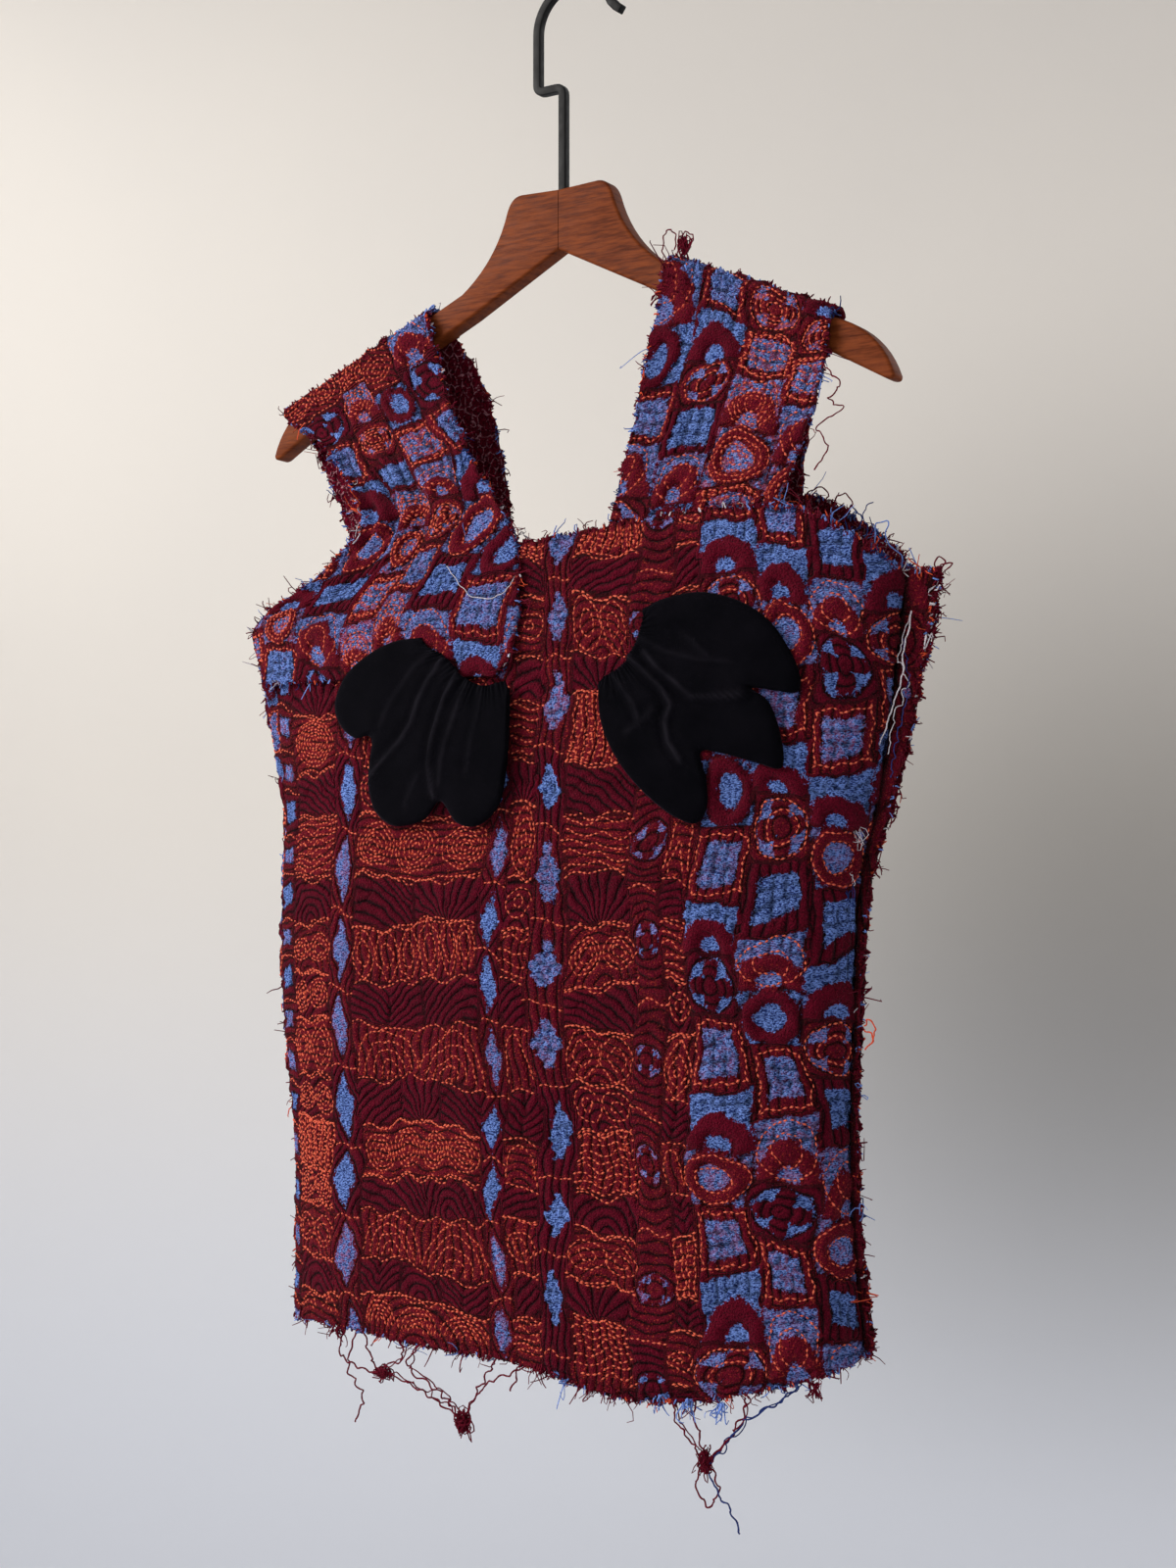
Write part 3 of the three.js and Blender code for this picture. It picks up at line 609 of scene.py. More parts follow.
# Shares of a strap's length where its front ends and where its fold over the arm ends.
strapShare = {"frontEnd": 0.5, "foldEnd": 0.6}
# A strap leaves its panel at these heights.
lowest = {"front": -322, "back": -312}
foldOver = {"half": arm["thick"] / 2 + 0.9, "rise": 3.6, "clear": 2.4}
# Inner face of an end that is tucked behind a panel, from the panel's face.
tucked = -(2 * form["cloth"] + 2 * form["gap"] + form["pillow"])
# For each strap: its neck edge (in) and armhole edge (out), from the front's lower end up and from the
# fold down the back; how far it stands over the chest, and further at the side.
straps = {
    "right": {
        "front": {
            "inX": [46, 50, 56, 62, 71], "inZ": [-337, -308, -275, -235, -170],
            "outX": [144, 149, 159, 168, 171], "outZ": [-339, -312, -280, -245, -213],
        },
        "back": {
            "inX": [71, 64, 58, 56], "inZ": [-170, -235, -285, -333],
            "outX": [171, 152, 142, 138], "outZ": [-213, -247, -292, -336],
        },
        "chest": tucked, "sideLift": 0.0, "flip": False,
    },
    "left": {
        "front": {
            "inX": [-14, -5, -1, -3, -8, -16, -29, -45, -60, -74, -92],
            "inZ": [-400, -390, -366, -345, -328, -312, -294, -275, -250, -222, -180],
            "outX": [-193, -201, -207, -190, -163, -139, -121, -126, -143, -166, -201],
            "outZ": [-393, -377, -362, -350, -339, -325, -308, -290, -269, -248, -227],
        },
        "back": {
            "inX": [-92, -67, -56, -52], "inZ": [-180, -222, -275, -333],
            "outX": [-201, -188, -172, -164], "outZ": [-227, -252, -290, -338],
        },
        "chest": form["pillow"] + form["gap"], "sideLift": 3.0, "flip": True,
    },
}
sideFrom, sideTo = 150, 205     # where the lift at the side sets in


def foldHeight(x):
    return arm["high"] - arm["slope"] * (np.abs(x - arm["mid"]) - arm["shoulder"]) + foldOver["clear"]


def smooth(value, low, high):
    t = np.clip((value - low) / (high - low), 0, 1)
    return t * t * (3 - 2 * t)


class Strap:
    # A shoulder strap. v runs from its lower front edge over the arm to its lower back edge.
    def __init__(self, name):
        self.strap = straps[name]
        for half in ("front", "back"):
            rows = self.strap[half]
            rows["s"] = list(np.linspace(0, 1, len(rows["inX"])))

    def row(self, half, s, t):
        rows = self.strap[half]
        return [
            along(rows, "s", "in" + axis, s) * (1 - t) + along(rows, "s", "out" + axis, s) * t
            for axis in "XZ"]

    def fromPanel(self, depth, x, z, lift):
        end = foldHeight(x) - foldOver["rise"]
        low = lowest[depth]
        points = onPanel(depth, x, np.minimum(z, low), lift)
        rise = np.clip((z - low) / (end - low), 0, 1) ** 0.9
        rise = np.where(z <= low, 0, rise)
        points[..., 0] += (x - points[..., 0]) * rise
        points[..., 1] += (sides[depth] * foldOver["half"] - points[..., 1]) * rise
        points[..., 2] = np.where(z <= low, points[..., 2], np.minimum(z, end))
        return points

    def face(self, u, v):
        t = 1 - u if self.strap["flip"] else u
        frontEnd, foldEnd = strapShare["frontEnd"], strapShare["foldEnd"]
        x, z = self.row("front", np.clip(v / frontEnd, 0, 1), t)
        lift = self.strap["chest"] + self.strap["sideLift"] * smooth(-x, sideFrom, sideTo)
        front = self.fromPanel("front", x, z, lift)
        x, z = self.row("back", np.clip((v - foldEnd) / (1 - foldEnd), 0, 1), t)
        back = self.fromPanel("back", x, z, tucked)
        x, z = self.row("front", np.ones(v.shape), t)
        angle = np.pi * np.clip((v - frontEnd) / (foldEnd - frontEnd), 0, 1)
        base = foldHeight(x) - foldOver["rise"]
        over = np.stack([x, -foldOver["half"] * np.cos(angle), base + foldOver["rise"] * np.sin(angle)], -1)
        inFront = (v <= frontEnd)[..., None]
        behind = (v >= foldEnd)[..., None]
        return np.where(inFront, front, np.where(behind, back, over))


def normalsOf(points):
    return unit(np.cross(np.gradient(points, axis=1), np.gradient(points, axis=0)))


print("forms ready")


# The pattern woven into the cloth.

weaveSizes = {
    "cord": 5.0,        # pitch of the raised wine cords
    "square": 6.4,      # pitch of the quilted blue squares
    "blueRise": 1.2,
    "cordRise": 0.8,
    "puff": 0.9,        # how far the cloth puffs up between rows of stitching
    "dashPitch": 3.2,   # from one stitch to the next along a row
    "rowPitch": 4.3,    # between rows of stitching
}


def swirl(a, b, seed):
    # Hand-worked unevenness of the pattern, as small shifts of each place in the cloth.
    rng = np.random.default_rng(seed)
    shiftA, shiftB = np.zeros(np.shape(a)), np.zeros(np.shape(a))
    for length, depth in ((115, 1.6), (40, 0.8), (14, 0.3)):
        for k in range(3):
            turn, first, second = rng.uniform(0, math.tau, 3)
            wave = (a * math.cos(turn) + b * math.sin(turn)) * math.tau / (length * rng.uniform(0.8, 1.25))
            shiftA = shiftA + depth * np.sin(wave + first)
            shiftB = shiftB + depth * np.sin(1.1 * wave + second)
    return shiftA, shiftB


# Motifs. Each takes places about its cell's middle, and gives cords (vein), dents, blue and rise there.

def fan(p, q, cell):
    # Cords that spread and curl from the foot of a leaf.
    foot = q + cell["tall"] * 0.6
    turn = np.arctan2(p, foot)
    far = np.hypot(p, foot)
    curl = turn * (1 + 0.006 * far)
    dent = hump(p, 0.7) * 0.8
    return {"vein": 0.5 + curl * cell["tall"] * 0.62 / weaveSizes["cord"], "dent": dent}


def feather(p, q, cell):
    # Curved cords that sweep up from a middle rib.
    side = np.abs(p)
    vein = (q - 1.1 * side + 0.022 * side * side) / weaveSizes["cord"]
    return {"vein": vein, "dent": hump(p, 0.8)}


def sweep(p, q, cell):
    # One-sided feather, leaning with its row.
    lean = cell.get("lean", 1) * p
    vein = (q * 0.9 + 0.55 * lean + 0.012 * lean * lean) / weaveSizes["cord"]
    return {"vein": vein, "dent": 0.7 * hump(q - cell["tall"] * 0.3 * np.cos(p / 9), 0.8)}


def scales(p, q, cell):
    far = np.hypot(p, q + cell["tall"] / 2)
    return {"vein": far / weaveSizes["cord"], "dent": hump(far - cell["tall"] * 0.92, 0.8)}


def plainRows(p, q, cell):
    return {"vein": (q + 0.8 * np.sin(p / 5.0)) / weaveSizes["cord"], "dent": np.zeros(p.shape)}


def ropes(p, q, cell):
    return {"vein": (p + 0.9 * np.sin(q / 4.0)) / (weaveSizes["cord"] * 1.15), "dent": np.zeros(p.shape)}


def boxedIn(p, q, wide, tall):
    # How far inside a box each place is.
    return np.minimum(wide / 2 - np.abs(p), tall / 2 - np.abs(q))


def quilting(p, q, pitch):
    # Small square hills.
    return np.abs(np.sin(np.pi * p / pitch) * np.sin(np.pi * q / pitch))


def between(hill):
    # The dents between such hills.
    return (1 - hill) ** 1.7


def block(p, q, cell):
    # A quilted block of small blue squares.
    pitch = weaveSizes["square"]
    wide = pitch * max(2, round(cell["wide"] * 0.7 / pitch))
    tall = pitch * max(2, round(cell["tall"] * 0.62 / pitch))
    hill = quilting(p + wide / 2, q + tall / 2, pitch)
    blue = boxedIn(p, q, wide, tall)
    return {
        "blue": blue, "dent": np.where(blue > 0, between(hill) * 0.95, 0),
        "rise": np.where(blue > 0, weaveSizes["blueRise"] * hill ** 0.6, 0),
        "vein": (np.abs(p) - wide / 2) / weaveSizes["cord"],
    }


def ringed(p, q, cell):
    # A blue disc in a thick wine ring, among small blue squares.
    size = min(cell["wide"], cell["tall"])
    core, ring = size * 0.24, size * 0.37
    far = np.hypot(p, q * 0.94)
    hill = hump(far - ring, size * 0.09)
    outside = far - size * 0.49
    small = quilting(p, q, weaveSizes["square"] * 0.8)
    rim = boxedIn(p, q, cell["wide"], cell["tall"])
    blue = np.maximum(core - far, np.minimum(outside, rim - 0.8))
    return {
        "blue": blue, "vein": np.full(p.shape, 0.5),
        "dent": 0.8 * hump(far - core - 0.6, 0.7) + np.where(outside > 0, between(small) * 0.9, 0)
        + 0.8 * hump(outside, 0.8),
        "rise": 1.6 * hill + np.where(outside > 0, 0.9 * small ** 0.6, 0),
    }


def arches(p, q, cell):
    # Nested wine arches over a blue foot, with small blue squares in the corners.
    foot = q + cell["tall"] * 0.42
    far = np.hypot(p, foot * 0.8)
    size = min(cell["wide"] * 0.5, cell["tall"] * 0.62)
    small = quilting(p + 1.5, q, weaveSizes["square"] * 0.8)
    outside = far - size * 0.98
    rim = boxedIn(p, q, cell["wide"], cell["tall"])
    blue = np.maximum(np.minimum(size * 0.36 - far, foot + 1), np.minimum(outside, rim - 1))
    hill = hump(far - size * 0.68, size * 0.2)
    return {
        "blue": blue, "vein": np.full(p.shape, 0.5),
        "dent": 0.8 * hump(far - size * 0.42, 0.8) + np.where(outside > 0, between(small) * 0.9, 0),
        "rise": 1.6 * hill + np.where(outside > 0, 0.9 * small ** 0.6, 0),
    }


def lozenge(p, q, cell):
    wide, tall = cell["wide"] * 0.36, cell["tall"] * 0.40
    blue = (1 - np.abs(p) / wide - np.abs(q) / tall) * wide * 0.8
    return {
        "blue": blue, "dent": 0.7 * hump(blue, 0.8),
        "rise": np.where(blue > 0, 0.7, 0), "vein": (np.abs(p) + np.abs(q) * 0.5) / weaveSizes["cord"],
    }


def quarters(p, q, cell):
    # Four wine petals with blue between them.
    size = min(cell["wide"], cell["tall"])
    turn = np.arctan2(q, p)
    far = np.hypot(p, q)
    petal = size * 0.44 * np.abs(np.cos(2 * turn)) ** 0.5
    blue = np.minimum(far - petal, size * 0.46 - far)
    return {
        "blue": blue - 0.4, "dent": 0.8 * hump(far - petal, 0.7),
        "rise": np.where(far < petal, 0.9, 0.2), "vein": far / weaveSizes["cord"],
    }


def bars(p, q, cell):
    blue = boxedIn(p, q, cell["wide"] * 0.62, cell["tall"] * 0.42)
    return {
        "blue": blue, "dent": 0.8 * hump(blue, 0.8) + 0.6 * hump(p, 0.7) * (blue > 0),
        "rise": np.where(blue > 0, 0.8, 0), "vein": q / weaveSizes["cord"],
    }


def stepped(p, q, cell):
    # A stepped lozenge of small squares.
    pitch = weaveSizes["square"] * 0.86
    level = np.clip(np.rint(q / pitch), -2, 2)
    count = 3 - np.abs(level)
    blue = np.minimum(count * pitch / 2 - np.abs(p), 2.5 * pitch - np.abs(q))
    shift = np.where(count % 2 == 0, 0.0, pitch / 2)
    hill = np.abs(np.sin(np.pi * (p + shift) / pitch) * np.cos(np.pi * q / pitch))
    return {
        "blue": blue - 0.3, "dent": np.where(blue > 0, between(hill) * 0.9, 0),
        "rise": np.where(blue > 0, 1.0 * hill ** 0.6, 0), "vein": np.abs(p) / weaveSizes["cord"] + 0.5,
    }


motifs = {
    "fan": fan, "feather": feather, "scales": scales, "rows": plainRows, "ropes": ropes, "block": block,
    "ringed": ringed, "lozenge": lozenge, "quarters": quarters, "bars": bars, "stepped": stepped,
    "sweep": sweep, "arches": arches,
}


def ringPath(a, b, radius, squash=1.0):
    turn = np.linspace(0, math.tau, max(12, int(radius * 4)))
    return np.stack([a + radius * np.cos(turn), b + radius * squash * np.sin(turn)], -1)


def linePath(start, end, wave=0.0, length=9.0):
    start, end = np.array(start, float), np.array(end, float)
    far = float(np.linalg.norm(end - start))
    t = np.linspace(0, 1, max(3, int(far / 1.5)))
    points = start + (end - start) * t[:, None]
    if wave:
        across = np.array([start[1] - end[1], end[0] - start[0]]) / max(far, 1e-6)
        points = points + across * (wave * np.sin(t * far * math.tau / length))[:, None]
    return points


def lineAcross(cell, level, wave, length):
    # A line right across a cell, at a height from its middle.
    a, b, half = cell["a"], cell["b"], cell["wide"] / 2
    return linePath((a - half, b + level), (a + half, b + level), wave, length)


def bothEdges(cell, wave, length):
    return [lineAcross(cell, side * (cell["tall"] / 2 - 0.6), wave, length) for side in (-1, 1)]


def shares(cell, count):
    # Middles of equal parts side by side in a cell.
    return [cell["a"] - cell["wide"] / 2 + (k + 0.5) * cell["wide"] / count for k in range(count)]


def stitchRows(cell):
    tall = cell["tall"]
    count = max(2, int(tall / (weaveSizes["rowPitch"] * cell["open"])))
    return [
        lineAcross(cell, (k + 0.5) * tall / count - tall / 2, 1.0 + 0.6 * (k % 2), 19) for k in range(count)]


def stitchRings(cell):
    wide, tall = cell["wide"], cell["tall"]
    count = max(1, round(wide / (tall * 0.8)))
    paths = []
    for middle in shares(cell, count):
        reach = min(wide / count, tall) / 2 * 0.92
        while reach > 1.8:
            paths.append(ringPath(middle, cell["b"], reach, 0.9))
            reach -= weaveSizes["rowPitch"] * cell["open"] * 0.8
    return paths + bothEdges(cell, 1.2, wide / count)


def stitchLadder(cell):
    a, b, wide, tall = cell["a"], cell["b"], cell["wide"], cell["tall"]
    paths = []
    count = max(2, round(wide / (8.0 * cell["open"])))
    for k in range(count):
        low = a - wide / 2 + (k + 0.2) * wide / count
        high = low + 0.62 * wide / count
        foot = b - tall / 2 + 1 + (k % 3)
        for x in (low, high):
            paths.append(linePath((x, foot), (x, b + tall / 2 - 1), 0.6, 11))
        rungs = max(2, int(tall / (4.2 * cell["open"])))
        for j in range(rungs):
            level = foot + (j + 0.7) * (tall - 3) / rungs
            paths.append(linePath((low, level), (high, level)))
    return paths + bothEdges(cell, 1.5, 31)


def stitchScallops(cell):
    wide, tall = cell["wide"], cell["tall"]
    count = max(1, round(wide / (1.35 * tall)))
    span = wide / count
    turn = np.linspace(0.04 * math.pi, 0.96 * math.pi, 22)
    paths = []
    for middle in shares(cell, count):
        reach = min(span / 2, tall) - 0.6
        while reach > 2.2:
            arc = np.stack([reach * np.cos(turn), 0.8 + reach * np.sin(turn) * tall / (span / 2) * 0.9], -1)
            paths.append(arc + (middle, cell["b"] - tall / 2))
            reach -= weaveSizes["rowPitch"] * cell["open"]
    return paths


def stitchLeaves(cell):
    # Pointed leaves side by side, each with a smaller one inside.
    wide, tall = cell["wide"], cell["tall"]
    count = max(1, round(wide / (tall * 0.55)))
    t = np.linspace(-1, 1, 26)
    paths = []
    for middle in shares(cell, count):
        share = 0.96
        while share > 0.15:
            half = wide / count * 0.5 * share * (1 - t * t) ** 0.8
            for side in (-1, 1):
                paths.append(np.stack([middle + side * half, cell["b"] + t * share * tall * 0.48], -1))
            share -= weaveSizes["rowPitch"] * cell["open"] / (wide / count) * 1.9
    return paths + [lineAcross(cell, tall / 2 - 0.4, 1.4, 27)]


def stitchEdges(cell):
    return [lineAcross(cell, cell["tall"] / 2 - 0.8, 1.6, 24)]


def stitchOutline(cell):
    size = min(cell["wide"], cell["tall"])
    sizes = [0.47] + [0.26] * (cell["warm"] > 0.4) + [0.36, 0.15] * (cell["warm"] > 0.62)
    return [ringPath(cell["a"], cell["b"], size * share, 0.97) for share in sizes]


def stitchBlock(cell):
    a, b = cell["a"], cell["b"]
    half, tall = cell["wide"] * 0.42, cell["tall"] * 0.40
    corners = [(a - half, b - tall), (a + half, b - tall), (a + half, b + tall), (a - half, b + tall)]
    paths = [linePath(corners[k], corners[(k + 1) % 4], 0.7, 11) for k in range(4)]
    if cell["warm"] > 0.55:
        paths += stitchRows(cell)
    return paths


stitchKinds = {
    "rows": stitchRows, "rings": stitchRings, "ladder": stitchLadder, "scallops": stitchScallops,
    "leaves": stitchLeaves, "edges": stitchEdges, "outline": stitchOutline, "block": stitchBlock,
}

# The columns across each cloth, each to an x in the flat cut: bands from edge to edge, a chain of one
# figure (its height and name), or tiles (height, width and how much warmer).
layouts = {
    "front": {
        "seed": 11, "low": -800, "high": -290, "from": -240,
        "columns": [
            ("tiles", -186, 27, 18, 0), ("chain", -168, 25, "bars"), ("bands", -130),
            ("chain", -109, 44, "lozenge"), ("bands", -16), ("chain", -1, 37, "lozenge"), ("bands", 17),
            ("chain", 38, 46, "stepped"), ("bands", 78), ("chain", 98, 58, "quarters"), ("bands", 112),
            ("tiles", 240, 33, 32, 0),
        ],
    },
    "back": {
        "seed": 23, "low": -800, "high": -280, "from": -240,
        "columns": [
            ("tiles", -150, 33, 30, 0), ("bands", -96), ("chain", -76, 46, "stepped"), ("bands", 12),
            ("chain", 30, 40, "lozenge"), ("bands", 96), ("chain", 116, 44, "lozenge"), ("bands", 170),
            ("tiles", 240, 27, 20, 0),
        ],
    },
    "rightStrap": {
        "seed": 5, "low": -10, "high": 360, "from": -70,
        "columns": [("tiles", -28, 30, 30, 0), ("tiles", 2, 26, 26, 0), ("tiles", 70, 31, 34, 0.5)],
    },
    "leftStrap": {
        "seed": 8, "low": -10, "high": 470, "from": -130, "wineAbove": 175,
        "columns": [
            ("tiles", -62, 29, 30, 0.35), ("tiles", -20, 34, 34, 0), ("tiles", 26, 30, 30, 0.4),
            ("tiles", 130, 33, 32, 0),
        ],
    },
}


bandHeights = {"plain": (19, 29), "stitched": (27, 40)}
tileTurn = ("block", "ringed", "arches", "block", "quarters", "arches")
wineShare = 0.68     # of the tiles above a layout's wineAbove that are plain wine


def bandsOf(layout, rng):
    # Heights of the bands that run across the cloth, plain and stitched in turn.
    made = []
    level = layout["low"]
    stitched = False
    while level < layout["high"]:
        tall = rng.uniform(*bandHeights["stitched" if stitched else "plain"])
        warm = rng.uniform(0.75, 1.0) if stitched else 0.0
        made.append({"b": level + tall / 2, "tall": tall, "warm": warm})
        level += tall
        stitched = not stitched
    return made


def warmAt(bands, b):
    nearest = min(bands, key=lambda band: abs(band["b"] - b) - band["tall"] / 2)
    return nearest["warm"]


def cellsOf(layout):
    # Every cell of a cloth's pattern, column by column, with its motif and stitching.
    rng = np.random.default_rng(layout["seed"])
    bands = bandsOf(layout, rng)
    columns = layout["columns"]
    starts = [layout["from"]] + [column[1] for column in columns]
    made = []

    def pick(*names):
        return str(rng.choice(names))

    for start, (kind, end, *repeat) in zip(starts, columns):
        wide = end - start

        def place(k, count, b, tall, **look):
            middle = start + (k + 0.5) * wide / count
            made.append({"a": middle, "b": b, "wide": wide / count, "tall": tall, **look})

        if kind == "bands":
            for band in bands:
                plain = band["warm"] < 0.5
                count = max(1, round(wide / rng.uniform(34, 52))) if plain else 1
                for k in range(count):
                    look = {"warm": band["warm"], "open": float(rng.choice([0.66, 0.8, 1.15, 1.5]))}
                    if plain:
                        look["motif"] = pick("fan", "feather", "scales", "sweep", "sweep")
                        look["lean"] = int(rng.choice([-1, 1]))
                        look["sewn"] = ["edges"] if rng.random() < 0.8 else ["edges", "rings"]
                    else:
                        look["motif"] = pick("rows", "scales", "ropes")
                        sewn = pick("rows", "rings", "rings", "ladder", "scallops", "leaves")
                        look["sewn"] = [sewn, "edges"]
                    place(k, count, band["b"], band["tall"], **look)

        elif kind == "chain":
            tall, figure = repeat
            level = layout["low"] + rng.uniform(0, tall)
            while level < layout["high"]:
                place(0, 1, level, tall, warm=warmAt(bands, level) * 0.6, motif=figure, sewn=["edges"])
                level += tall

        else:
            tall, tileWide, warmer = repeat
            count = max(1, round(wide / tileWide))
            for k in range(count):
                level = layout["low"] + (k % 2) * tall / 2
                turn = int(rng.integers(0, len(tileTurn)))
                while level < layout["high"] + tall:
                    if level > layout.get("wineAbove", 1e9) and rng.random() < wineShare:
                        look = {"warm": 0.8, "motif": pick("rows", "sweep", "ropes"), "open": 1.0}
                        look["sewn"] = [pick("ladder", "leaves", "rows", "rings")]
                    else:
                        figure = tileTurn[turn % len(tileTurn)]
                        warm = min(1.0, warmAt(bands, level) * 0.55 + warmer * rng.uniform(0.2, 1.4))
                        sewn = [] if warm < 0.3 else ["block"] if figure == "block" else ["outline"]
                        look = {"warm": warm, "motif": figure, "open": 1.2, "sewn": sewn}
                        turn += 1
                    place(k, count, level, tall, **look)
                    level += tall
    return made


def woven(layout, cells, sewing, a, b):
    # The cloth's pattern at places in the flat cut: blue, cords, dents, warmth, stitching and rise.
    shiftA, shiftB = swirl(a, b, layout["seed"])
    warpedA, warpedB = a + shiftA, b + shiftB
    fields = {name: np.zeros(a.shape) for name in ("vein", "dent", "warm", "rise")}
    fields["blue"] = np.full(a.shape, -9.0)
    for cell in cells:
        p, q = warpedA - cell["a"], warpedB - cell["b"]
        inside = (np.abs(p) <= cell["wide"] / 2) & (np.abs(q) <= cell["tall"] / 2)
        if not inside.any():
            continue
        values = motifs[cell["motif"]](p[inside], q[inside], cell)
        for name, value in values.items():
            fields[name][inside] = value
        rim = boxedIn(p[inside], q[inside], cell["wide"], cell["tall"])
        fields["dent"][inside] = np.maximum(fields["dent"][inside], 0.6 * hump(rim, 0.8))
        fields["warm"][inside] = cell["warm"]
    tree = kdtree.KDTree(len(sewing))
    for k, (x, y) in enumerate(sewing):
        tree.insert((x, y, 0.0), k)
    tree.balance()
    near = np.array([tree.find((x, y, 0.0))[2] for x, y in zip(a.ravel(), b.ravel())]).reshape(a.shape)
    fields["sewn"] = hump(near, 1.5)
    cords = np.abs(np.sin(math.pi * fields["vein"])) ** 0.6
    puff = weaveSizes["puff"] * (1 - hump(near, 2.4))
    fields["rise"] = (
        fields["rise"] + weaveSizes["cordRise"] * cords * (fields["blue"] < 0)
        + puff * (near < 9) - 0.5 * fields["dent"] - 0.4)
    return fields


# Making the meshes.

def addPiece(name, mesh, materials, slot, *nodes):
    for finish in materials:
        mesh.materials.append(finish)
    piece = bpy.data.objects.new(name, mesh)
    scene.collection.objects.link(piece)
    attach(piece, "root")
    if nodes:
        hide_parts(*nodes)
    return piece


def withValues(mesh, values):
    # A mesh with a named value at each of its points.
    for key, value in values.items():
        attribute = mesh.attributes.new(key, "FLOAT", "POINT")
        attribute.data.foreach_set("value", np.asarray(value, np.float32))
    mesh.shade_smooth()
    mesh.update()
    return mesh


def evenGrid(rows, cols):
    # v and u at even steps.
    return np.meshgrid(np.linspace(0, 1, rows), np.linspace(0, 1, cols), indexing="ij")


def gridMesh(name, cols, rows, surface):
    # A grid whose points are placed by surface(u, v), which also gives each point's attributes.
    bm = bmesh.new()
    bmesh.ops.create_grid(bm, x_segments=cols, y_segments=rows, size=0.5)
    mesh = meshOf(bm, name)
    flat = np.empty(len(mesh.vertices) * 3)
    mesh.vertices.foreach_get("co", flat)
    flat = flat.reshape(-1, 3)
    i = np.rint((flat[:, 0] + 0.5) * cols).astype(int)
    j = np.rint((flat[:, 1] + 0.5) * rows).astype(int)
    v, u = evenGrid(rows + 1, cols + 1)
    points, values = surface(u, v)
    mesh.vertices.foreach_set("co", (points[j, i] * mm).ravel())
    return withValues(mesh, {key: value[j, i] for key, value in values.items()}), points, values


def sampled(grid, u, v):
    # Values of a grid between its points.
    high, wide = grid.shape[0] - 1, grid.shape[1] - 1
    col, row = np.clip(u, 0, 1) * wide, np.clip(v, 0, 1) * high
    i, j = np.clip(col.astype(int), 0, wide - 1), np.clip(row.astype(int), 0, high - 1)
    s, t = (col - i)[:, None], (row - j)[:, None]
    low = grid[j, i] * (1 - s) + grid[j, i + 1] * s
    high = grid[j + 1, i] * (1 - s) + grid[j + 1, i + 1] * s
    return low * (1 - t) + high * t


def arrayMesh(name, points, faces, values):
    mesh = bpy.data.meshes.new(name)
    mesh.from_pydata((points * mm).tolist(), [], faces.tolist())
    return withValues(mesh, values)


def dashes(layout, cells, rng):
    # Middle and direction of every stitch, in the flat cut.
    middles, ways = [], []
    pitch = weaveSizes["dashPitch"]
    for cell in cells:
        for kind in cell["sewn"]:
            for path in stitchKinds[kind](cell):
                path = path - np.stack(swirl(path[:, 0], path[:, 1], layout["seed"]), -1)
                run = runOf(path)
                if run[-1] < pitch:
                    continue
                at = np.arange(rng.uniform(0, pitch), run[-1], pitch)
                here, there, back = (
                    np.stack([np.interp(np.clip(at + off, 0, run[-1]), run, path[:, k]) for k in (0, 1)], -1)
                    for off in (0, 0.6, -0.6))
                middles.append(here)
                ways.append(there - back)
    middles, ways = np.concatenate(middles), unit(np.concatenate(ways))
    return middles + rng.normal(0, 0.22, middles.shape), ways + rng.normal(0, 0.14, ways.shape)


stitch = {"long": 3.7, "wide": 1.2, "high": 0.75, "sunk": 0.5, "endShade": 0.1, "inset": 0.006}
spindleFaces = np.array([
    [0, 2, 4], [2, 1, 4], [1, 3, 4], [3, 0, 4], [2, 0, 5], [1, 2, 5], [3, 1, 5], [0, 3, 5]])


def stitchMesh(name, cloth, sewing, points, normals, rng):
    # Every running stitch of one cloth as a small spindle of yarn on its surface.
    middles, ways = sewing
    u, v = cloth.spot(middles[:, 0], middles[:, 1])
    inset = stitch["inset"]
    kept = (u > inset) & (u < 1 - inset) & (v > inset) & (v < 1 - inset)
    middles, ways, u, v = middles[kept], ways[kept], u[kept], v[kept]
    aheadU, aheadV = cloth.spot(*(middles + ways * 0.5).T)
    middle, ahead = sampled(points, u, v), sampled(points, aheadU, aheadV)
    out = sampled(normals, u, v)
    way = unit(ahead - middle)
    side = np.cross(out, way)
    long = stitch["long"] * rng.uniform(0.9, 1.1, (len(way), 1)) / 2
    wide = stitch["wide"] * rng.uniform(0.75, 1.2, (len(way), 1)) / 2
    middle = middle + out * 0.1
    low = out * 0.25
    corners = np.stack([
        middle - way * long - low, middle + way * long - low, middle - side * wide, middle + side * wide,
        middle + out * stitch["high"], middle - out * stitch["sunk"]], 1)
    faces = spindleFaces[None] + 6 * np.arange(len(way))[:, None, None]
    # Painted light on each stitch: its top lightest, its ends and underside in painted shade, and each stitch
    # also lighter or darker at random.
    tone = rng.uniform(0.55, 1.0, len(way))[:, None] * np.array([stitch["endShade"]] * 2 + [0.8, 0.8, 1.1, 0.5])
    print(name, "stitches", len(way))
    return arrayMesh(name, corners.reshape(-1, 3), faces.reshape(-1, 3), {"tone": tone.ravel()})


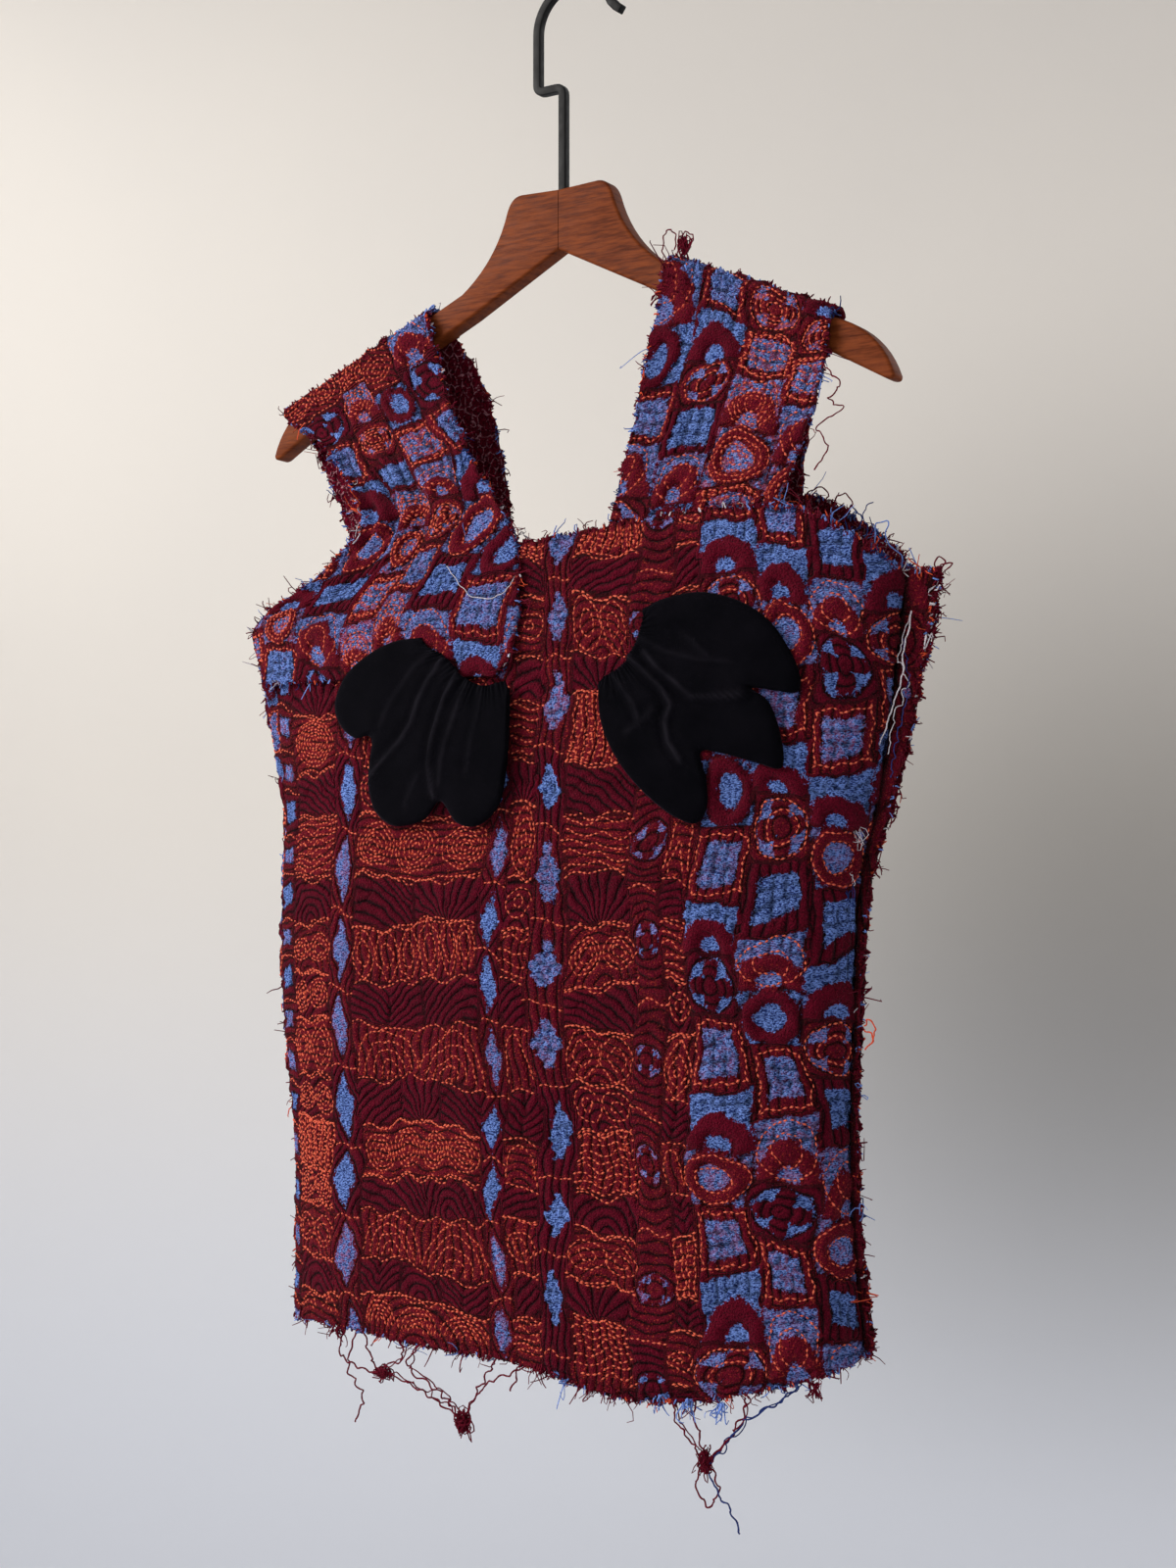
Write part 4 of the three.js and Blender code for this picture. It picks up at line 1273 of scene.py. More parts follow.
def tubes(paths, radius, sides=3):
    # Open tubes along many paths of as many points each.
    count, long = paths.shape[:2]
    ahead = unit(np.gradient(paths, axis=1))
    first = unit(np.cross(ahead, np.array([0.31, 0.87, 0.39])))
    second = np.cross(ahead, first)
    angle = (np.arange(sides) * math.tau / sides)[None, None, :, None]
    outward = first[:, :, None] * np.cos(angle) + second[:, :, None] * np.sin(angle)
    points = (paths[:, :, None] + outward * radius[:, :, None, None]).reshape(-1, 3)
    k = np.arange(sides)
    ring = np.stack([k, (k + 1) % sides, (k + 1) % sides + sides, k + sides], -1)
    tube = (ring[None] + sides * np.arange(long - 1)[:, None, None]).reshape(-1, 4)
    return points, (tube[None] + sides * long * np.arange(count)[:, None, None]).reshape(-1, 4)


class Yarn:
    # Collects threads of one piece, then makes them as one mesh.
    def __init__(self, seed):
        self.rng = np.random.default_rng(seed)
        self.points, self.faces, self.tones, self.made = [], [], [], 0

    def add(self, paths, radius, tone, sides=3):
        points, faces = tubes(paths, radius, sides)
        self.points.append(points)
        self.faces.append(faces + self.made)
        self.tones.append(np.repeat(tone, paths.shape[1] * sides))
        self.made += len(points)

    def strands(self, roots, ways, lengths, tone, thick=0.42, curl=0.3, steps=6, droop=0.35):
        # Short ends that leave their roots in a given way, then wander and droop.
        rng, count = self.rng, len(roots)
        t = np.linspace(0, 1, steps)[None, :, None]
        long = lengths[:, None, None]
        paths = roots[:, None] + ways[:, None] * long * t
        for turns in (1.0, 2.3):
            sway = rng.normal(0, 1, (count, 1, 3))
            phase = rng.uniform(0, math.tau, (count, 1, 1))
            paths = paths + sway * long * curl / turns * t * np.sin(turns * math.tau * t * 0.5 + phase)
        paths[..., 2] -= (long * droop * t * t)[..., 0]
        radius = thick * rng.uniform(0.7, 1.25, (count, 1)) * (1 - 0.45 * t[..., 0] ** 2)
        self.add(paths, radius, tone)

    def loops(self, roots, ways, lengths, tone, thick=0.45):
        # Yarn that leaves the edge and turns back into it.
        rng, count = self.rng, len(roots)
        t = np.linspace(0, 1, 5)[None, :, None]
        aside = unit(np.cross(ways, rng.normal(0, 1, (count, 3))))
        wide = rng.uniform(0.7, 2.2, (count, 1, 1))
        paths = roots[:, None] + ways[:, None] * lengths[:, None, None] * np.sin(math.pi * t)
        paths = paths + aside[:, None] * wide * (t - 0.5) + rng.normal(0, 0.16, (count, 5, 3))
        self.add(paths, np.full((count, 5), thick) * rng.uniform(0.75, 1.2, (count, 1)), tone)

    def thread(self, path, thick, tone, wave, length=9.0):
        # A long loose thread, by way of a few places.
        rng = self.rng
        path = np.array(path, float)
        rows = {"s": list(range(len(path))), "x": path[:, 0], "y": path[:, 1], "z": path[:, 2]}
        far = np.linalg.norm(np.diff(path, axis=0), axis=1).sum()
        steps = max(8, int(far / 0.9))
        s = np.linspace(0, len(path) - 1, steps)
        made = np.stack([along(rows, "s", column, s) for column in ("x", "y", "z")], -1)
        run = np.linspace(0, far, steps)
        loose = np.sin(np.pi * np.linspace(0, 1, steps)) ** 0.35
        for share in (1.0, 0.5):
            for axis in range(3):
                at = run * math.tau / (length * share * rng.uniform(0.8, 1.3)) + rng.uniform(0, math.tau)
                made[:, axis] += wave * share ** 1.8 * loose * np.sin(at)
        radius = np.full((1, steps), thick) * rng.uniform(0.85, 1.15, (1, steps))
        self.add(made[None], radius, np.array([tone]), 5)

    def clump(self, centre, size, tones, count=34, thick=0.42):
        # A knotted tangle of thread.
        rng = self.rng
        t = np.linspace(0, 1, 16)[None, :, None]
        paths = np.zeros((count, 16, 3)) + np.array(centre, float)
        for turns in (0.8, 1.9, 3.1):
            sway = rng.normal(0, 0.55, (count, 1, 3)) * np.array(size, float)
            phase = rng.uniform(0, math.tau, (count, 1, 3))
            paths = paths + sway / turns ** 0.4 * np.sin(turns * math.tau * t + phase)
        radius = np.full((count, 16), thick) * rng.uniform(0.7, 1.2, (count, 1))
        self.add(paths, radius, rng.choice(tones, count))

    def mesh(self, name):
        points, faces = np.concatenate(self.points), np.concatenate(self.faces)
        print(name, "faces", len(faces))
        return arrayMesh(name, points, faces, {"tone": np.concatenate(self.tones)})


# Places on the yarn colours' scale.
tones = {"wine": 0.2, "deepBlue": 0.57, "blue": 0.71, "coral": 0.84, "white": 0.95}


def edgeTones(rng, blue):
    # Yarn of the cloth's own colour at each place, with strays of the others.
    count = len(blue)
    stray = rng.random(count)
    isBlue = (blue > 0) & (rng.random(count) < 0.5)
    made = np.where(isBlue, rng.choice([tones["deepBlue"], tones["blue"]], count), tones["wine"])
    made = np.where(stray < 0.08, tones["coral"], made)
    made = np.where(stray > 0.95, tones["white"], made)
    return np.where((stray > 0.86) & (stray < 0.95), tones["blue"], made)


def fuzz(yarn, cloth, low, high, count):
    # Small loops of pile standing on a cloth, between two shares of its length.
    rng = yarn.rng
    u, v = rng.uniform(0.01, 0.99, count), rng.uniform(low, high, count)
    root, out = sampled(cloth["points"], u, v), sampled(cloth["normals"], u, v)
    here = sampled(cloth["blue"][..., None], u, v)[:, 0]
    ways = out + rng.normal(0, 0.4, out.shape)
    tone = np.where(here > 0, tones["blue"], tones["wine"])
    yarn.loops(root - out * 0.6, ways, rng.uniform(1.1, 2.2, count), tone, 0.42)


fraySizes = {
    "pitch": 0.9,       # along the edge from one loop to the next
    "deep": 1.4,        # how far the ends are rooted inside the edge
    "ends": 0.28,       # short ends for each loop
    "shortest": 0.5, "spread": 0.6, "longest": 2.6,
    "tuftPitch": 26.0, "tuftLong": 3.2, "tuft": 4,
    "strayPitch": 170.0, "strayLong": 9.0,
}


def frayEdge(yarn, cloth, edge, span=(0.0, 1.0), thickness=None, more=1.0):
    # Raw ends, tufts and a few long strays along one edge of a cloth's grid.
    rng = yarn.rng
    grids = [cloth[key] for key in ("points", "normals", "blue")]
    if edge in ("left", "right"):
        grids = [grid.swapaxes(0, 1) for grid in grids]
    if edge in ("right", "top"):
        grids = [grid[::-1] for grid in grids]
    points, normals, blue = grids
    line, inner = points[0], points[min(4, len(points) - 1)]
    run = runOf(line)
    steps = np.arange(len(run))
    thickness = thickness or form["cloth"]
    deep = fraySizes["deep"]

    def placed(count, grouped=None):
        # Roots inside the edge, the way out of it there and whether the cloth is blue.
        at = rng.uniform(span[0], span[1], count) * run[-1]
        if grouped:
            at = np.repeat(at, grouped) + rng.normal(0, 1.0, count * grouped)
        k = np.interp(at, run, steps)
        low = np.clip(k.astype(int), 0, len(run) - 2)
        share = (k - low)[:, None]
        root = line[low] * (1 - share) + line[low + 1] * share
        way = unit(line[low] - inner[low])
        depth = rng.uniform(0.1, thickness, (len(k), 1))
        return root - way * deep - normals[0][low] * depth, way, blue[2][low]

    def leaning(way, amount):
        return unit(way + rng.normal(0, amount, way.shape))

    far = run[-1] * (span[1] - span[0]) * more
    root, way, here = placed(int(far / fraySizes["pitch"]))
    long = deep + rng.uniform(0.4, 2.2, len(root))
    yarn.loops(root, leaning(way, 0.4), long, edgeTones(rng, here), 0.5)
    root, way, here = placed(int(far / fraySizes["pitch"] * fraySizes["ends"]))
    long = deep + fraySizes["shortest"] + rng.exponential(fraySizes["spread"], len(root))
    long = np.minimum(long, deep + fraySizes["longest"])
    yarn.strands(root, leaning(way, 0.5), long, edgeTones(rng, here), 0.45, 1.3, 6, 0.2)
    count, many = max(1, int(far / fraySizes["tuftPitch"])), fraySizes["tuft"]
    root, way, here = placed(count, many)
    lean = np.repeat(rng.normal(0, 0.45, (count, 3)), many, axis=0)
    long = np.repeat(rng.uniform(0.5, 1.2, count), many) * rng.uniform(0.7, 1.1, count * many)
    colour = np.repeat(edgeTones(rng, here[::many]), many)
    long = fraySizes["tuftLong"] * long + deep
    yarn.strands(root, leaning(way + lean, 0.25), long, colour, 0.45, 1.3, 7, 0.2)
    root, way, here = placed(max(1, int(far / fraySizes["strayPitch"])))
    long = fraySizes["strayLong"] * rng.uniform(0.5, 1.3, len(root))
    yarn.strands(root, leaning(way, 0.7), long, edgeTones(rng, here), 0.28, 0.9, 20, 0.4)


def solidified(piece, thickness, inside=True):
    # The cloth's wall, behind its outer face.
    wall = piece.modifiers.new("wall", "SOLIDIFY")
    wall.thickness = thickness * mm
    wall.offset = -1
    wall.use_quality_normals = False
    if inside:
        wall.material_offset = 1
        wall.material_offset_rim = 0


def flatSize(points):
    # Area of a grid of points, in square millimetres.
    across = points[1:, 1:] - points[:-1, :-1]
    other = points[1:, :-1] - points[:-1, 1:]
    return float(np.linalg.norm(np.cross(across, other), axis=-1).sum() / 2)


def addCloth(title, cols, rows, surface, node, thickness, lined=True):
    # A woven cloth with its wall, and the grids that its stitches and frayed edges are placed by.
    mesh, points, values = gridMesh(title, cols, rows, surface)
    materials = [finishes["quilt"], finishes["inside"]] if lined else [finishes["quilt"]]
    piece = addPiece(title, mesh, materials, "quilted_cloth", node)
    solidified(piece, thickness, lined)
    return {"piece": piece, "points": points, "normals": normalsOf(points), "blue": values["blue"]}


def addSewnCloth(key, look, layout, cloth, shaped):
    # A cloth with its running stitches. shaped(u, v, fields, rise) places its points.
    cells = cellsOf(layout)
    rng = np.random.default_rng(layout["seed"] + 100)
    sewing = dashes(layout, cells, rng)

    def surface(u, v):
        fields = woven(layout, cells, sewing[0], *cloth.cut(u, v))
        return shaped(u, v, fields, fields.pop("rise")), fields

    made = addCloth(key + "Cloth", look["cols"], look["rows"], surface, look["node"], form["cloth"])
    title = key + "Stitching"
    sewn = stitchMesh(title, cloth, sewing, made["points"], made["normals"], rng)
    addPiece(title, sewn, [finishes["stitch"]], "loose_yarn")
    clothes[key] = made
    return made


def sized(made, title, wide, tall, points):
    # The flat cut's width, height and area, in metres.
    made["flat"] = (wide * mm, tall * mm)
    made["area"] = min(flatSize(points) * mm * mm, made["flat"][0] * made["flat"][1])
    print(title, made["flat"], made["area"])


# Cloth panels.

panelLook = {
    "front": {"cols": 190, "rows": 204, "node": "front_panel"},
    "back": {"cols": 140, "rows": 152, "node": "back_panel"},
}
flatMargin = 15      # that a panel's cut is longer than the drop down its middle
clothes = {}


def addPanel(depth):
    panel = Panel(depth)

    def shaped(u, v, fields, rise):
        groove = hump(np.minimum(u, 1 - u) * form["across"], form["groove"])
        # Painted shade in the groove beside each side seam.
        fields["dent"] = np.maximum(fields["dent"], 1.2 * groove)
        rise = rise - 0.8 * groove
        points = panel.face(u, v)
        return raggedEdges(points + normalsOf(points) * rise[..., None], ["top"], 31)

    made = addSewnCloth(depth, panelLook[depth], layouts[depth], panel, shaped)
    v, u = evenGrid(90, 90)
    face = panel.face(u, v)
    widths = np.linalg.norm(np.diff(panel.face(*np.meshgrid(u[0], [0.0, 0.5, 1.0])), axis=1), axis=-1)
    tall = panel.top["z"][4] - panel.hem["z"][2] + flatMargin
    sized(made, depth + "Cloth", float(widths.sum(axis=1).max()), tall, face)


for depth in ("front", "back"):
    addPanel(depth)


# Cloth straps.

strapLook = {
    "right": {
        "cols": 60, "rows": 186, "node": "strap_right",
        "pleats": {"deep": 0.8, "at": 0.2, "wide": 0.13, "count": 1.7, "turn": 0.4}},
    "left": {
        "cols": 90, "rows": 172, "node": "strap_left",
        "pleats": {"deep": 2.3, "at": 0.31, "wide": 0.12, "count": 2.7, "turn": 0.9}},
}


class StrapCloth(Strap):
    # The strap's outer face and its place in the flat cut, turned against the body's cloth.
    def __init__(self, name, look):
        super().__init__(name)
        v, u = evenGrid(look["rows"] + 1, look["cols"] + 1)
        inner = self.face(u, v)
        self.outer = inner + normalsOf(inner) * form["cloth"]
        self.run = runOf(self.outer[:, look["cols"] // 2])
        self.widths = np.linalg.norm(np.diff(self.outer, axis=1), axis=-1).sum(axis=1)
        self.steps = np.linspace(0, 1, look["rows"] + 1)

    def cut(self, u, v):
        return (u - 0.5) * np.interp(v, self.steps, self.widths), np.interp(v, self.steps, self.run)

    def spot(self, a, b):
        v = np.interp(b, self.run, self.steps)
        v = np.where(b > self.run[-1], 2.0, np.where(b < 0, -1.0, v))
        return 0.5 + a / np.interp(np.clip(v, 0, 1), self.steps, self.widths), v


def addStrap(name):
    look = strapLook[name]
    strap = StrapCloth(name, look)
    pleats = look["pleats"]

    def shaped(u, v, fields, rise):
        fold = hump(v - pleats["at"], pleats["wide"]) * np.sin(
            math.tau * (pleats["count"] * u + 1.3 * np.sin(2.4 * u) + pleats["turn"] * v))
        rise = rise + pleats["deep"] * fold
        # Painted shade in the hollows of the pleats.
        fields["dent"] = fields["dent"] + 0.12 * pleats["deep"] * np.maximum(-fold, 0)
        points = strap.outer + normalsOf(strap.outer) * rise[..., None]
        return raggedEdges(points, ["left", "right", "bottom"], 35)

    key = name + "Strap"
    made = addSewnCloth(key, look, layouts[key], strap, shaped)
    sized(made, key + "Cloth", float(strap.widths.max()), float(strap.run[-1]), strap.outer)


for name in strapLook:
    addStrap(name)
print("cloth and stitching made")


# Raw side seams and hems.

seamStrips = {
    "right": {
        "z": [-353, -390, -440, -510, -600, -755], "wide": [18, 15, 11, 5, 3, 4], "side": 1, "rows": 200,
        "plain": 6.5},
    "left": {
        "z": [-361, -450, -600, -767], "wide": [4, 3, 3, 4], "side": -1, "rows": 190, "plain": 0.0},
}
seamSizes = {"thick": 4.4, "layer": 2.0, "wave": 1.2, "run": 9, "cols": 12, "widest": 18, "inside": 4}
hemSizes = {"strip": 4.0, "rows": 6, "overlap": 0.6, "longer": 1.2}
noStitches = {"right": [(400.0, -500.0)], "left": [(-400.0, -500.0)], "hem": [(0.0, 400.0)]}


def addSeam(name, strip):
    # Two layers of cloth sewn together, with their raw edges outside.
    side = strip["side"]
    for layer, depth in ((-1, "front"), (1, "back")):
        layout = layouts[depth]
        cells = cellsOf(layout)
        outerFirst = side * layer < 0

        def surface(u, v):
            t = u if outerFirst else 1 - u
            z = strip["z"][0] + (strip["z"][-1] - strip["z"][0]) * (1 - v)
            edge = along(body, "z", "half", z) + 3 * form["gap"]
            out = t * (along(strip, "z", "wide", z) + 1.1 * evenNoise(z, 40 + layer, 15.0))
            x = along(body, "z", "mid", z) + side * (edge + out)
            wave = seamSizes["wave"] * np.sin(z / seamSizes["run"]) * out / strip["wide"][0]
            spread = layer * (seamSizes["thick"] / 2 + 0.8 * (out / seamSizes["widest"]) ** 2)
            across = side * layer * -1 * (lengthAt(depth, z) / 2 - seamSizes["inside"] + out)
            fields = woven(layout, cells, noStitches[name], across, z)
            rise = fields.pop("rise")
            fields["blue"] = fields["blue"] - strip["plain"]
            fields["warm"] = np.maximum(fields["warm"], 0.1 * strip["plain"])
            # Painted shade in the groove where the seam strip leaves the panel.
            fields["dent"] = np.maximum(fields["dent"], 1.2 * hump(out, form["groove"]))
            return np.stack([x, wave + spread + layer * rise * 0.7, z + 0 * x], -1), fields

        title = name + "Seam" + depth.capitalize()
        clothes[title] = addCloth(
            title, seamSizes["cols"], strip["rows"], surface, "side_seam_" + name, seamSizes["layer"], False)
        clothes[title]["outer"] = "right" if outerFirst else "left"


for name, strip in seamStrips.items():
    addSeam(name, strip)


def addHem(depth):
    # The last few millimetres of a panel, parted from it by a worn line.
    panel = Panel(depth)
    layout = layouts[depth]
    cells = cellsOf(layout)

    def surface(u, v):
        ragged = 0.9 * evenNoise(u * 400, 61 + sides[depth], 13.0)
        long = hemSizes["strip"] + hemSizes["longer"] + ragged
        z = panel.ends(u)[0] + hemSizes["overlap"] - long * (1 - v)
        points = panelFace(depth, u, z)
        fields = woven(layout, cells, noStitches["hem"], (u - 0.5) * lengthAt(depth, z), z)
        return points + normalsOf(points) * fields.pop("rise")[..., None], fields

    title = depth + "HemStrip"
    clothes[title] = addCloth(
        title, panelLook[depth]["cols"], hemSizes["rows"], surface, "hem_fringe_" + depth, form["cloth"])


for depth in sides:
    addHem(depth)


# Loose yarn.

# Loose threads below the front hem: x, how far each place stands before the hem, and z.
looseThreads = [
    [(-124, 0, 0), (-127, 1, -780), (-113, 2, -786), (-94, 1, -789)],
    [(-110, 0, 0), (-104, 1, -776), (-98, 2, -784), (-91, 1, -789)],
    [(-115, 0, 0), (-120, 1, -788), (-108, 1, -802), (-114, 1, -818)],
    [(-84, 0, 0), (-78, 1, -778), (-92, 2, -785), (-74, 1, -791), (-56, 1, -797), (-36, 1, -806)],
    [(-60, 0, 0), (-74, 1, -781), (-52, 2, -792), (-42, 1, -800), (-34, 1, -808)],
    [(-10, 0, 0), (-16, 1, -778), (-24, 2, -790), (-34, 1, -806)],
    [(12, 0, 0), (0, 1, -777), (-14, 2, -783), (-26, 1, -794), (-34, 1, -807)],
    [(2, 0, 0), (3, 1, -777), (-2, 1, -787)],
    [(96, 0, 0), (98, 1, -792), (107, 1, -803), (113, 1, -812)],
    [(108, 0, 0), (108, 1, -789), (112, 2, -800), (114, 1, -813)],
    [(134, 0, 0), (134, 1, -786), (126, 2, -800), (115, 1, -812)],
    [(160, 0, 0), (152, 1, -779), (136, 2, -789), (124, 1, -803), (116, 1, -813)],
    [(114, 1, -810), (109, 1, -824), (116, 1, -834), (121, 1, -824), (115, 1, -811)],
    [(114, 1, -812), (121, 1, -828), (127, 1, -835), (132, 1, -847)],
]
blueThreads = (11, 13)
doubledThreads = (3, 4, 8, 10, 11)
hemLine = {"x": [-190, -60, 0, 70, 120, 180], "z": [-768, -764, -768, -779, -782, -766]}
hemKnots = [((-34, -808), (3.2, 2.4, 5.0)), ((-92, -788), (4.2, 2.4, 2.4)), ((114, -812), (3.4, 2.4, 5.4))]
hemTassels = [
    ("wine", -128), ("wine", 18), ("wine", 62), ("blue", 88), ("blue", 104), ("blue", 122), ("wine", 168)]


def hemPlace(x):
    # The place in the front hem's strip below an x.
    z = np.interp(x, hemLine["x"], hemLine["z"])
    return onPanel("front", np.array([float(x)]), np.array([z]))[0]


def addTassel(yarn, x, tone, count=14):
    rng = yarn.rng
    roots = hemPlace(x) + rng.normal(0, 1.4, (count, 3)) * (1, 0.4, 0.3)
    ways = np.array([0.0, -0.1, -1.0]) + rng.normal(0, 0.28, (count, 3))
    yarn.strands(roots, ways, rng.uniform(4, 9, count), np.full(count, tone), 0.5, 0.4, 9, 0.1)


def addFrontThreads(yarn):
    # The front hem's loose threads, with knots and tassels.
    for k, path in enumerate(looseThreads):
        root = hemPlace(path[0][0]) + (0, form["cloth"] / 2, 0)
        placed = [tuple(root)] * (path[0][2] == 0)
        placed += [(x, hemPlace(x)[1] - out, z) for x, out, z in path if z != 0]
        tone = tones["deepBlue" if k in blueThreads else "wine"]
        yarn.thread(placed, 0.5, tone, 0.8)
        if k in doubledThreads:
            yarn.thread([(x + 1.2, y + 0.6, z + 0.8) for x, y, z in placed], 0.38, tone, 1.5, 12.0)
    for (x, z), size in hemKnots:
        yarn.clump((x, hemPlace(x)[1] - 1, z), size, [tones["wine"]])
    for tone, x in hemTassels:
        addTassel(yarn, x, tones[tone])


def addYarn(title, yarn, *nodes):
    addPiece(title, yarn.mesh(title), [finishes["fray"]], "loose_yarn", *nodes)


def addHemYarn(depth):
    yarn = Yarn(71 if depth == "front" else 72)
    frayEdge(yarn, clothes[depth + "HemStrip"], "bottom", more=1.2)
    if depth == "front":
        addFrontThreads(yarn)
    addYarn(depth + "HemYarn", yarn, "hem_fringe_" + depth)


for depth in sides:
    addHemYarn(depth)


# For each piece: the cloth's edge, how thick the fray is, and between which shares of the edge.
whole = (0.0, 1.0)
thickEnds = [("top", 1.0, whole), ("top", 1.6, (0.0, 0.2)), ("top", 1.6, (0.78, 1.0))]
frayedEdges = {
    "front": thickEnds,
    "back": thickEnds,
    "rightStrap": [("left", 0.9, whole), ("right", 0.4, whole), ("bottom", 0.8, whole)],
    "leftStrap": [("left", 0.9, whole), ("right", 0.7, whole), ("bottom", 1.2, (0.0, 0.35))],
}
# Threads that hang or stand free elsewhere: colour, thickness, how far they wave, and their places.
freeThreads = [
    ("white", 0.42, 0.4, [
        (215, -5, -374), (214, -7, -385), (211, -7, -395), (211.5, -8, -405), (209, -8, -414),
        (205, -8, -424), (202, -9, -434), (198, -9, -443)]),
    ("white", 0.26, 1.0, [
        (214, -5, -376), (209, -8, -398), (213, -7, -412), (206, -8, -430), (203, -9, -448)]),
    ("deepBlue", 0.28, 1.0, [(210, -5, -388), (214, -7, -412), (208, -8, -438), (204, -8, -460)]),
    ("wine", 0.4, 0.7, [
        (168, -13, -240), (176, -20, -247), (184, -24, -256), (178, -25, -263), (186, -26, -269),
        (172, -26, -277), (178, -26, -288), (169, -24, -299)]),
    ("wine", 0.4, 0.5, [
        (150, 6, -314), (148.5, 6, -307), (153, 6, -303), (159, 6, -303), (162.5, 6, -307.6),
        (159.6, 6, -310), (156, 6, -313)]),
    ("deepBlue", 0.4, 0.5, [
        (172, 8, -327), (170.7, 8, -319.6), (174.2, 8, -313.6), (177.6, 8, -317), (181, 8, -320.5),
        (178.7, 8, -325.6), (174, 8, -328)]),
    ("wine", 0.38, 0.6, [(162, 7, -322), (166, 5, -312), (172, 4, -307), (176, 5, -313), (171, 6, -322)]),
    ("blue", 0.36, 0.3, [
        (190.5, 4, -344), (190.3, 4, -334), (190.3, 4, -328), (191.5, 4, -325), (198, 4, -325),
        (196.3, 4, -331), (199, 4, -338), (205.3, 4, -343), (206, 3, -350)]),
    ("deepBlue", 0.3, 0.8, [(183, 5, -336), (186, 3, -326), (184, 3, -318), (190, 3, -314)]),
    ("wine", 0.42, 0.4, [
        (224, -1, -361), (227, -1, -357.5), (229.5, -1, -353), (230, -1, -350.5), (233.4, -1, -350.7),
        (236, -1, -350), (235, -1, -352.4), (231.7, -1, -354)]),
    ("wine", 0.42, 0.8, [(224, 1, -356), (226, 0, -350), (229, 1, -347), (231, 0, -351), (227, 1, -355)]),
    ("coral", 0.42, 0.7, [(187, -6, -588), (192, -10, -585), (196, -11, -591), (193, -12, -597)]),
    ("coral", 0.42, 0.7, [(187, -6, -590), (194, -9, -594), (190, -11, -600)]),
]
seamKnotSize = (3.4, 1.6, 4.6)
seamKnots = [
    ((188, -14, -490), "white"), ((181.5, -12, -510), "white"), ((181.5, -12, -521), "deepBlue")]
# Pile on both straps' folds, between shares of their length.
foldPile = {"low": 0.46, "high": 0.62, "count": 350}
# Over the right strap's fold: a knot and two loops.
strapKnot = {"place": (81.5, -8, -163), "size": (2.6, 2.0, 4.4), "count": 30}
knotThreads = [
    [(70, -6, -171), (68.4, -9, -165), (69, -9, -159.5), (70.3, -9, -154), (72.8, -9, -153.5),
     (75.3, -9, -154.4), (77.2, -9, -159), (76, -9, -165)],
    [(80, -7, -171), (78.4, -9, -163), (80, -9, -157.6), (85.3, -9, -156.5), (88, -9, -161),
     (85.3, -9, -165)],
]
# A loose thread that lies on the left strap's lobe, as x and z.
lobeThread = [(-51.7, -335), (-42, -346), (-31.5, -354), (-18, -356), (-8.4, -350), (-4, -344)]


def laidOn(cloth, path, lift):
    # Places over the cloth's front at each x and z.
    points, normals = cloth["points"], cloth["normals"]
    half = len(points) // 2
    places = []
    for x, z in path:
        far = np.hypot(points[:half, :, 0] - x, points[:half, :, 2] - z)
        spot = np.unravel_index(far.argmin(), far.shape)
        places.append(points[spot] + normals[spot] * lift)
    return places


def addEdgeYarn(key, seed):
    yarn = Yarn(seed)
    for edge, more, span in frayedEdges[key]:
        frayEdge(yarn, clothes[key], edge, span, more=more)
    if key == "rightStrap":
        yarn.clump(strapKnot["place"], strapKnot["size"], [tones["wine"]], strapKnot["count"])
        for path in knotThreads:
            yarn.thread(path, 0.4, tones["wine"], 0.5, 7.0)
    if key == "leftStrap":
        yarn.thread(laidOn(clothes[key], lobeThread, 0.9), 0.28, tones["white"], 0.3)
    if "Strap" in key:
        fuzz(yarn, clothes[key], **foldPile)
    addYarn(key + "EdgeYarn", yarn)


def addSeamYarn(name):
    yarn = Yarn(91 + seamStrips[name]["side"])
    for depth in ("Front", "Back"):
        cloth = clothes[name + "Seam" + depth]
        frayEdge(yarn, cloth, cloth["outer"], thickness=seamSizes["layer"], more=0.4)
        if name == "right":
            frayEdge(yarn, cloth, cloth["outer"], (0.88, 1.0), seamSizes["layer"], 2.2)
            frayEdge(yarn, cloth, "top", thickness=seamSizes["layer"], more=1.8)
    if name == "right":
        for tone, thick, wave, path in freeThreads:
            yarn.thread(path, thick, tones[tone], wave)
        for place, tone in seamKnots:
            yarn.clump(place, seamKnotSize, [tones[tone]], 2, 0.24)
    addYarn(name + "SeamYarn", yarn, "side_seam_" + name)


for seed, key in enumerate(frayedEdges, 81):
    addEdgeYarn(key, seed)
for name in seamStrips:
    addSeamYarn(name)
print("raw edges and loose threads made")


# The velvet petals.

